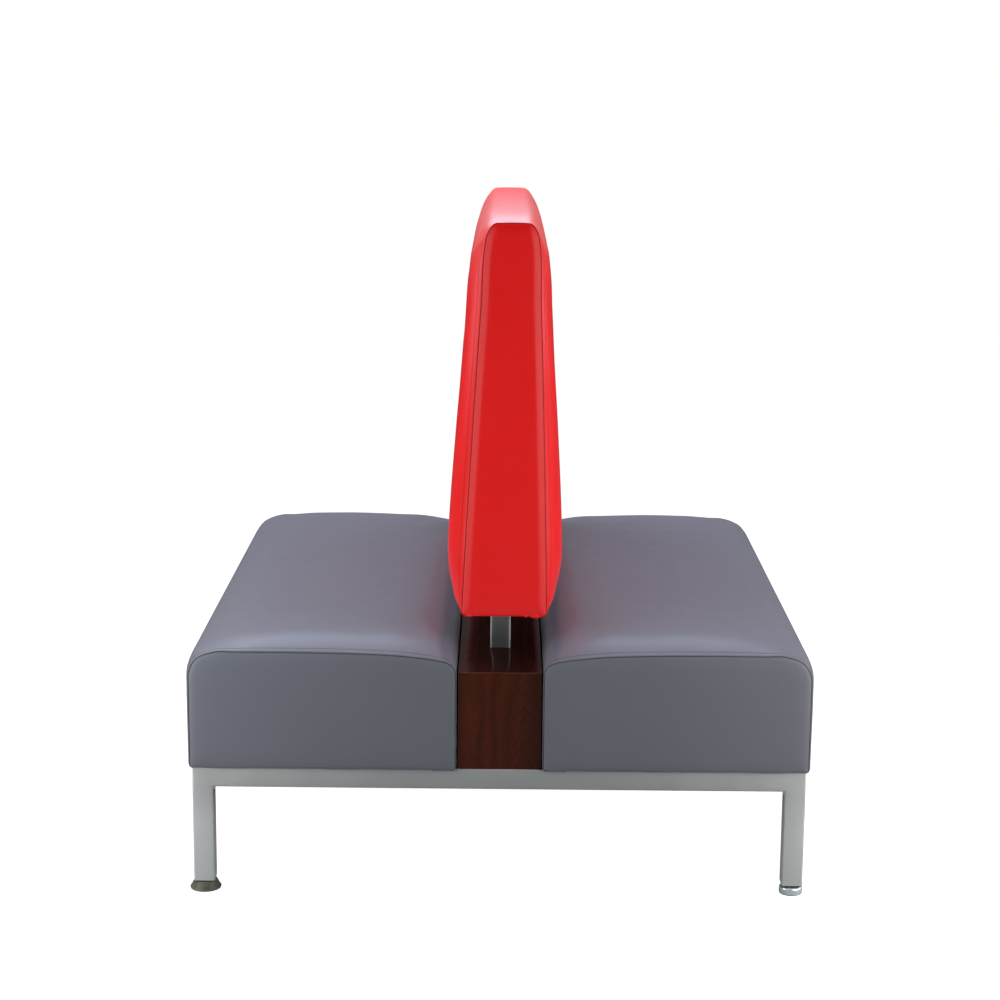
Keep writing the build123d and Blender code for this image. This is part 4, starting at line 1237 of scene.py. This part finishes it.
# Seats: one cushion, and a second one turned end for end
seatPull = {
    "wander": 14.0, "seed": 3, "depth": 0.016, "seamRun": 0.004, "wave": 0.013, "along": 0.00010,
    "atCorner": 0.00028, "spread": 0.030, "widening": 12.0,
}
seatMiddle = (seatStyle["outer"] + seatStyle["inner"]) / 2
seatBox = {
    "base": 0.015, "frame": 0.104, "deckBoard": 0.012, "wall": 0.019, "low": 0.2405, "edge": 0.0008,
    "halfX": (seatStyle["outer"] - seatStyle["inner"]) / 2 - 0.0055, "halfY": 0.600,
}
seatMesh, seatPaths = buildCushion(
    "seatCushion", seatStyle, seatOutline, seatStyle["length"] / 2, heldBelow(0.415, 0.05, 0),
    {"middle": seatMiddle, "lowHalf": seatBox["halfX"], "highHalf": seatBox["halfX"],
     "halfLength": seatBox["halfY"], "top": seatStyle["deck"]},
    pulledSeams(seatStyle["corners"], seatPull))
markSewing(seatMesh, seatPaths, seatStyle["seamShade"])
sagHem(seatMesh, seatStyle["low"])
for side, turn in (("right", (1, 1, 1)), ("left", (-1, -1, 1))):
    mesh = seatMesh.copy()
    mesh.name = side + "SeatCushion"
    if side == "left":
        mesh.transform(Matrix.Rotation(math.pi, 4, "Z"))
    cushion = addPiece(side + "SeatCushion", mesh, "bench", finishes["greyVinyl"])
    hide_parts(side + "_seat_cover", side + "_seat_foam")
    sewCushion(side + "Seat", seatPaths, finishes["greyThread"], turn)
print("seat cushions sewn")

# Back: one cushion with red vinyl all round
backPull = {
    "wander": 14.0, "seed": 8, "depth": 0.020, "seamRun": 0.004, "wave": 0.013, "along": 0.00004,
    "atCorner": 0.00022, "spread": 0.028, "widening": 12.0,
}
backMesh, backPaths = buildCushion(
    "backCushion", backStyle, backOutline, backStyle["half"], heldBelow(0.60, 0.08, 0.05),
    {"middle": 0.0, "lowHalf": 0.062, "highHalf": 0.0349, "halfLength": 0.5275, "top": 1.204},
    pulledSeams(backStyle["corners"], backPull))
markSewing(backMesh, backPaths, backStyle["seamShade"])
backCushion = addPiece("backCushion", backMesh, "bench", finishes["redVinyl"])
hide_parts("back_cover", "back_left_foam", "back_right_foam")
sewCushion("back", backPaths, finishes["redThread"])
print("back sewn")

# Folds of vinyl tucked under the corners of the back
tuckStyle = {
    "places": (  # place along X, half width, depth
        (-0.0572, 0.0092, 0.0030), (-0.0440, 0.0042, 0.0014), (0.0466, 0.0036, 0.0034),
        (0.0640, 0.0128, 0.0052)),
    "setBack": 0.0165, "halfRun": 0.0150, "ridges": 3, "ridge": 0.05, "sink": 0.0012,
    "rings": 13, "sides": 28,
}


def tuckMesh(name, style):
    net = Net()
    for end in (-1, 1):
        for aside, halfX, depth in style["places"]:
            x = aside if end < 0 else backStyle["offset"] - aside
            y = end * (backStyle["half"] - style["setBack"])
            rings = []
            for t in np.linspace(0.06, 0.94, style["rings"]):
                rise, wide = math.cos(math.pi * t), math.sin(math.pi * t) ** 0.8
                ring = []
                for angle in np.linspace(0, 2 * math.pi, style["sides"], endpoint=False):
                    ridge = 1 + style["ridge"] * math.sin(style["ridges"] * angle + 9 * x + 2.2 * t) * wide
                    out, down = style["halfRun"] * wide * ridge, (depth + style["sink"]) * wide * ridge
                    ring.append((
                        x + halfX * rise, y + out * math.cos(angle),
                        backStyle["bottom"] + style["sink"] + down * math.sin(angle)))
                rings.append(net.add(ring))
            net.tube(rings)
    return outwardMesh(name, net)


addPiece("backTucks", tuckMesh("backTucks", tuckStyle), "bench", finishes["redVinyl"])


# Timber boxes inside the seats
def boardMesh(name, boards, edge):
    work = bmesh.new()
    for low, high in boards:
        low, high = Vector(low), Vector(high)
        made = bmesh.ops.create_cube(work, size=1.0)["verts"]
        bmesh.ops.scale(work, vec=high - low, verts=made)
        bmesh.ops.translate(work, vec=(low + high) / 2, verts=made)
    bmesh.ops.bevel(work, geom=work.edges[:], offset=edge, segments=2, affect="EDGES", profile=0.5)
    bmesh.ops.recalc_face_normals(work, faces=work.faces)
    mesh = bpy.data.meshes.new(name)
    work.to_mesh(mesh)
    work.free()
    return mesh


def boxBoards(middle, style=seatBox):
    # Base, deck, two long walls and three cross walls, as pairs of corners
    halfX, halfY, wall = style["halfX"] - play, style["halfY"] - play, style["wall"]
    z0 = style["low"]
    z1, z2 = z0 + style["base"], z0 + style["base"] + style["frame"]
    z3 = z2 + style["deckBoard"] - play
    boards = [
        ((middle - halfX, -halfY, z0), (middle + halfX, halfY, z1)),
        ((middle - halfX, -halfY, z2), (middle + halfX, halfY, z3))]
    for edge in (-1, 1):
        x0, x1 = sorted((middle + edge * halfX, middle + edge * (halfX - wall)))
        boards.append(((x0, -halfY, z1), (x1, halfY, z2)))
    for y in (-halfY + wall / 2, 0, halfY - wall / 2):
        boards.append(((middle - halfX + wall, y - wall / 2, z1), (middle + halfX - wall, y + wall / 2, z2)))
    return boards


for side, sign in (("left", -1), ("right", 1)):
    mesh = boardMesh(side + "SeatBox", boxBoards(sign * seatMiddle), seatBox["edge"])
    box = addPiece(side + "SeatBox", mesh, "bench", finishes["plywood"])
    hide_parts(side + "_seat_base", side + "_seat_frame", side + "_seat_deck")
print("seat boxes glued up")


# Steel frame: at each end one welded hoop of square tube, legs and rail ground flush
frameStyle = {
    "tube": 0.0381, "corner": 0.0032, "wall": 0.0021, "legX": 0.54345, "legY": 0.57845, "legBottom": 0.0190,
    "railMiddle": 0.21995, "railBottom": 0.2009, "railTop": 0.2390, "offMitre": 0.006, "mouthDepth": 0.14,
    "postY": 0.402, "postMiddle": 0.5, "postTop": 0.819,
}


def roundedSquare(size, corner, steps=5):
    half = size / 2 - corner
    line = []
    for k, (cx, cy) in enumerate(((half, half), (-half, half), (-half, -half), (half, -half))):
        for step in range(steps + 1):
            angle = math.pi / 2 * (k + step / steps)
            line.append((cx + corner * math.cos(angle), cy + corner * math.sin(angle)))
    return np.array(line)


def sharpened(mesh, degrees):
    mesh.shade_smooth()
    mesh.set_sharp_from_angle(angle=math.radians(degrees))
    return mesh


def tubeMesh(name, stations, style=frameStyle):
    # stations: one function per place along the tube, from a section's (a, b) to a point
    outline = roundedSquare(style["tube"], style["corner"])
    hollow = roundedSquare(style["tube"] - 2 * style["wall"], style["corner"] - 0.9 * style["wall"])
    net = Net()
    rings = [net.add([at(a, b) for a, b in outline]) for at in stations]
    for one, two in zip(rings, rings[1:]):
        net.bridge(one, two)
    for end, inwards, ring in ((0, 1, rings[0]), (-1, -2, rings[-1])):
        mouth, further = (np.array([stations[k](a, b) for a, b in hollow]) for k in (end, inwards))
        lip, floor = net.add(mouth), net.add(between(mouth, further, style["mouthDepth"]))
        net.bridge(ring, lip)
        net.bridge(lip, floor)
        net.face(floor)
    return sharpened(outwardMesh(name, net), 38)


def hoopStations(y, style=frameStyle):
    # Up one leg, along the rail and down the other leg, with the sections mitred where they meet
    x, low, mid = style["legX"], style["legBottom"], style["railMiddle"]
    under, inside = style["railBottom"] - style["offMitre"], x - style["tube"] / 2 - style["offMitre"]
    return [
        lambda a, b: (-x + a, y + b, low), lambda a, b: (-x + a, y + b, under),
        lambda a, b: (-x + a, y + b, mid - a), lambda a, b: (-inside, y + b, mid - a),
        lambda a, b: (inside, y + b, mid - a), lambda a, b: (x - a, y + b, mid - a),
        lambda a, b: (x - a, y + b, under), lambda a, b: (x - a, y + b, low)]


def postStations(y, style=frameStyle):
    return [lambda a, b, z=style[level]: (a, y + b, z) for level in ("railTop", "postMiddle", "postTop")]


for end, sign in (("near", -1), ("far", 1)):
    mesh = tubeMesh(end + "FrameHoop", hoopStations(sign * frameStyle["legY"]))
    hoop = addPiece(end + "FrameHoop", mesh, "bench", finishes["silverPaint"])
    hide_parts(f"{end}_left_leg", f"{end}_right_leg", f"{end}_end_rail")
    mesh = tubeMesh(end + "Post", postStations(sign * frameStyle["postY"]))
    post = addPiece(end + "Post", mesh, "bench", finishes["postSteel"])
    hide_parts(f"{end}_post")

weldStyle = {
    "leg": 0.0055, "run": 0.0317, "ripple": 0.00016, "pitch": 0.0021, "belly": 0.0007,
    "steps": 61, "around": 7,
}


def addBead(net, corner, out, up, along, style=weldStyle):
    corner, out, up, along = (np.array(v, float) for v in (corner, out, up, along))
    rows = []
    for s in np.linspace(-0.5, 0.5, style["steps"]) * style["run"]:
        ripple = style["ripple"] * math.cos(2 * math.pi * s / style["pitch"])
        row = []
        for t in np.linspace(0, 1, style["around"]):
            swell = (style["belly"] + ripple) * math.sin(math.pi * t)
            face = out * style["leg"] * (1 - t) + up * style["leg"] * t
            row.append(corner + face + (out + up) / math.sqrt(2) * swell + along * s)
        row.append(corner + along * s)
        rows.append(row)
    net.tube(net.add(rows).reshape(len(rows), -1))


def weldMesh(name, style=frameStyle):
    net = Net()
    half = style["tube"] / 2
    for sx in (-1, 1):
        for sy in (-1, 1):
            x, y = sx * style["legX"], sy * style["legY"]
            addBead(net, (x - sx * half, y, style["railBottom"]), (-sx, 0, 0), (0, 0, -1), (0, 1, 0))
            addBead(net, (x, y - sy * half, style["railBottom"]), (0, -sy, 0), (0, 0, -1), (1, 0, 0))
            addBead(net, (sx * half, sy * style["postY"], style["railTop"]), (sx, 0, 0), (0, 0, 1), (0, 1, 0))
    return sharpened(outwardMesh(name, net), 50)


beads = addPiece("weldBeads", weldMesh("weldBeads"), "bench", finishes["silverPaint"])
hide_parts("frame_welds")
print("frame welded")


# Timber beam: veneered panels with softened arrises
def easedCopy(name, node, edge, segments):
    mesh = nodes[node].data.copy()
    mesh.name = name
    work = bmesh.new()
    work.from_mesh(mesh)
    bmesh.ops.remove_doubles(work, verts=work.verts, dist=1e-6)
    bmesh.ops.dissolve_limit(work, angle_limit=math.radians(2), verts=work.verts, edges=work.edges)
    sharp = [e for e in work.edges if len(e.link_faces) == 2 and e.calc_face_angle() > math.radians(40)]
    bmesh.ops.bevel(
        work, geom=sharp, offset=edge, segments=segments, affect="EDGES", profile=0.5, clamp_overlap=True)
    bmesh.ops.recalc_face_normals(work, faces=work.faces)
    work.to_mesh(mesh)
    work.free()
    return sharpened(mesh, 50)


veneerStyle = {"edge": 0.0007, "segments": 3}
for node, name, finish in (
        ("beam_top", "beamTopPanel", "mahoganyTop"), ("beam_near_end", "beamNearPanel", "mahoganyEnd"),
        ("beam_far_end", "beamFarPanel", "mahoganyEnd")):
    panel = addPiece(name, easedCopy(name, node, **veneerStyle), "bench", finishes[finish])
    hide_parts(node)
print("beam veneered")


# Levelling feet: turned cups and screws with real threads
def turnedMesh(name, profile, x, y, steps=72):
    # Closed profile of (radius, height), turned about the vertical line through x, y
    net = Net()
    rings = [
        net.add([(x + r * math.cos(a), y + r * math.sin(a), z) for r, z in profile])
        for a in np.linspace(0, 2 * math.pi, steps, endpoint=False)]
    for one, two in zip(rings, rings[1:] + rings[:1]):
        net.bridge(one, two)
    return sharpened(outwardMesh(name, net), 42)


def roundCorner(centre, radius, start, stop, count):
    return [
        (centre[0] + radius * math.cos(math.radians(a)), centre[1] + radius * math.sin(math.radians(a)))
        for a in np.linspace(start, stop, count)]


cupProfile = [
    (0.0200, 0.0015), (0.0211, 0.0015), *roundCorner((0.0210, 0.0020), 0.0005, -60, 0, 3),
    *roundCorner((0.0177, 0.0102), 0.0038, 0, 90, 9), (0.0120, 0.0140),
    *roundCorner((0.0061, 0.0132), 0.0008, 90, 180, 4), (0.0053, 0.0125), (0.0200, 0.0125)]
discProfile = [
    (0.0262, 0.0015), (0.0280, 0.0015), *roundCorner((0.0278, 0.0025), 0.0010, -70, 60, 6),
    (0.0266, 0.0055), (0.0246, 0.0095), (0.0226, 0.0132), *roundCorner((0.0197, 0.0147), 0.0020, 25, 110, 6),
    (0.0160, 0.0158), (0.0135, 0.0136), *roundCorner((0.0113, 0.0133), 0.0007, 60, 120, 3),
    (0.0085, 0.0133), (0.0066, 0.0138), (0.0053, 0.0136), (0.0053, 0.0125), (0.0096, 0.0125),
    (0.0255, 0.0018)]
screwStyle = {
    "outer": 0.0050, "root": 0.0042, "core": 0.0036, "pitch": 0.0015, "low": 0.0190, "top": 0.0617,
    "steps": 30, "sides": 36, "fade": 3.0, "shank": (  # radius and height, from the foot's ball up to the tip
        (0.0001, 0.0088), (0.0078, 0.0088), (0.0080, 0.0091), (0.0080, 0.0115), (0.0078, 0.0118),
        (0.0050, 0.0118), (0.0050, 0.0190), (0.0041, 0.0196), (0.0041, 0.0612), (0.0036, 0.0617),
        (0.0001, 0.0617)),
    "tip": 0.0006, "flats": 0.0065, "nutLow": 0.0143, "nutHigh": 0.0167, "nutEdge": 0.0003, "nutEase": 0.06,
}


def addThread(net, x, y, style):
    steps, pitch, root = style["steps"], style["pitch"], style["root"]
    turns = (style["top"] - style["tip"] - style["low"]) / pitch
    angles = np.arange(int(turns * steps) + 1) * (2 * math.pi / steps)
    across = [(root, 0.0), (root, 0.22), (style["outer"], 0.44), (style["outer"], 0.56), (root, 0.78)]
    rows = []
    for a, h in zip(angles, style["low"] + angles / (2 * math.pi) * pitch):
        fade = min(1.0, a / style["fade"], (angles[-1] - a) / style["fade"])
        row = [(root + (r - root) * fade, h + share * pitch - pitch / 2) for r, share in across]
        rows.append([(x + r * math.cos(a), y + r * math.sin(a), z) for r, z in [*row, (style["core"], h)]])
    net.tube(net.add(rows).reshape(len(rows), -1))


def screwMesh(name, x, y, style=screwStyle):
    net = Net()
    addThread(net, x, y, style)
    circle = np.linspace(0, 2 * math.pi, style["sides"], endpoint=False)
    hexagon = np.arange(6) * math.pi / 3
    low, high, edge = style["nutLow"], style["nutHigh"], style["nutEdge"]
    wide = style["flats"] / math.cos(math.pi / 6)
    eased = wide * (1 - style["nutEase"])
    collar = ((eased, low), (wide, low + edge), (wide, high - edge), (eased, high))
    for turns, profile in ((circle, style["shank"]), (hexagon, collar)):
        net.tube([
            net.add([(x + r * math.cos(a), y + r * math.sin(a), z) for a in turns]) for r, z in profile])
    return sharpened(outwardMesh(name, net), 30)


for end, sy in (("near", -1), ("far", 1)):
    for side, sx in (("left", -1), ("right", 1)):
        x, y, foot = sx * frameStyle["legX"], sy * frameStyle["legY"], f"{end}_{side}_foot"
        name = end + side.capitalize()
        label, profile, finish = "Cup", cupProfile, "chrome"
        if name == "nearLeft":
            label, profile, finish = "Disc", discProfile, "bronze"
        mesh = turnedMesh(name + label, profile, x, y)
        cup = addPiece(name + label, mesh, foot + "_base", finishes[finish])
        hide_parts(foot + "_cup")
        mesh = screwMesh(name + "Screw", x, y)
        screw = addPiece(name + "Screw", mesh, foot + "_screw", finishes["zinc"])
        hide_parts(foot + "_stem")
print("feet turned and threaded")

# Low button heads with hexagon sockets, on the bolts that hold the seats down
boltStyle = {
    "head": 0.0075, "rise": 0.0017, "socket": 0.0025, "deep": 0.0012, "shank": 0.004, "top": 0.2555,
    "sides": 24, "alongX": 0.205, "alongY": 0.410, "seed": 6,
}


def makeBoltTree(style):
    tree, given, made = startTree("boltRow", (
        ("Places", "NodeSocketGeometry", None), ("Bolt", "NodeSocketObject", None),
        ("Metal", "NodeSocketMaterial", None)), "Bolts")
    model = tree.nodes.new("GeometryNodeObjectInfo")
    turn = tree.nodes.new("ShaderNodeCombineXYZ")
    least, most, seed, angle = addChance(tree)
    least.default_value, most.default_value, seed.default_value = 0.0, math.pi / 3, style["seed"]
    joinNodes(tree, (given["Bolt"], model.inputs["Object"]), (angle, turn.inputs["Z"]))
    placeCopies(tree, given["Places"], model.outputs["Geometry"], turn.outputs[0], None, given["Metal"], made)
    return tree


def boltMesh(style):
    net = Net()
    low, head, rise, socket = frameStyle["railBottom"], style["head"], style["rise"], style["socket"]

    def ring(radius, height, hexagon=False):
        points = []
        for k in range(style["sides"]):
            angle = 2 * math.pi * k / style["sides"]
            off = (angle + math.pi / 6) % (math.pi / 3) - math.pi / 6 if hexagon else 0
            reach = radius / math.cos(off)
            points.append((reach * math.cos(angle), reach * math.sin(angle), height))
        return net.add(points)

    net.tube([
        ring(socket, low - rise + style["deep"], True), ring(socket, low - rise + 0.0001, True),
        ring(socket * 1.25, low - rise), ring(head * 0.62, low - rise), ring(head * 0.82, low - 0.82 * rise),
        ring(head * 0.95, low - 0.5 * rise), ring(head, low - 0.15 * rise), ring(head, low),
        ring(style["shank"], low), ring(style["shank"], style["top"])])
    return sharpened(outwardMesh("seatBolt", net), 35)


def boltPlaces(style):
    sides = [(sx, sy) for sx in (-1, 1) for sy in (-1, 1)]
    places = [(sx * frameStyle["legX"], sy * style["alongY"], 0) for sx, sy in sides]
    return places + [(sx * style["alongX"], sy * frameStyle["legY"], 0) for sx, sy in sides]


boltModel = bpy.data.objects.new("seatBoltModel", boltMesh(boltStyle))
scene.collection.objects.link(boltModel)
mesh = treeMesh(
    "seatBolts", makeBoltTree(boltStyle), plainMesh("boltPlaces", boltPlaces(boltStyle), [], False),
    {"Bolt": boltModel, "Metal": finishes["zinc"]})
bpy.data.objects.remove(boltModel)
bolts = addPiece("seatBolts", mesh, "bench", None)
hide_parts("seat_bolts")
print("seat bolts turned, faces", len(mesh.polygons))

# Pieces kept as they are, with their finishes
slotFinish = {
    "frame_paint": "silverPaint", "post_steel": "postSteel", "plywood": "plywood", "zinc_steel": "zinc",
    "foot_nylon": "nylon", "leg_plug": "blackPlug", "dust_cloth": "dustCloth", "beam_veneer": "mahoganyEnd",
    "foot_chrome": "chrome", "foot_bronze": "bronze", "seat_vinyl": "greyVinyl", "back_vinyl": "redVinyl",
    "foam": "plywood",
}
for part in frame["record"]["subparts"]:
    kept = nodes[part["node"]]
    if not kept.hide_render:
        for index in range(len(kept.material_slots)):
            kept.material_slots[index].material = finishes[slotFinish[part["material_slot"]]]
print("kept pieces finished")
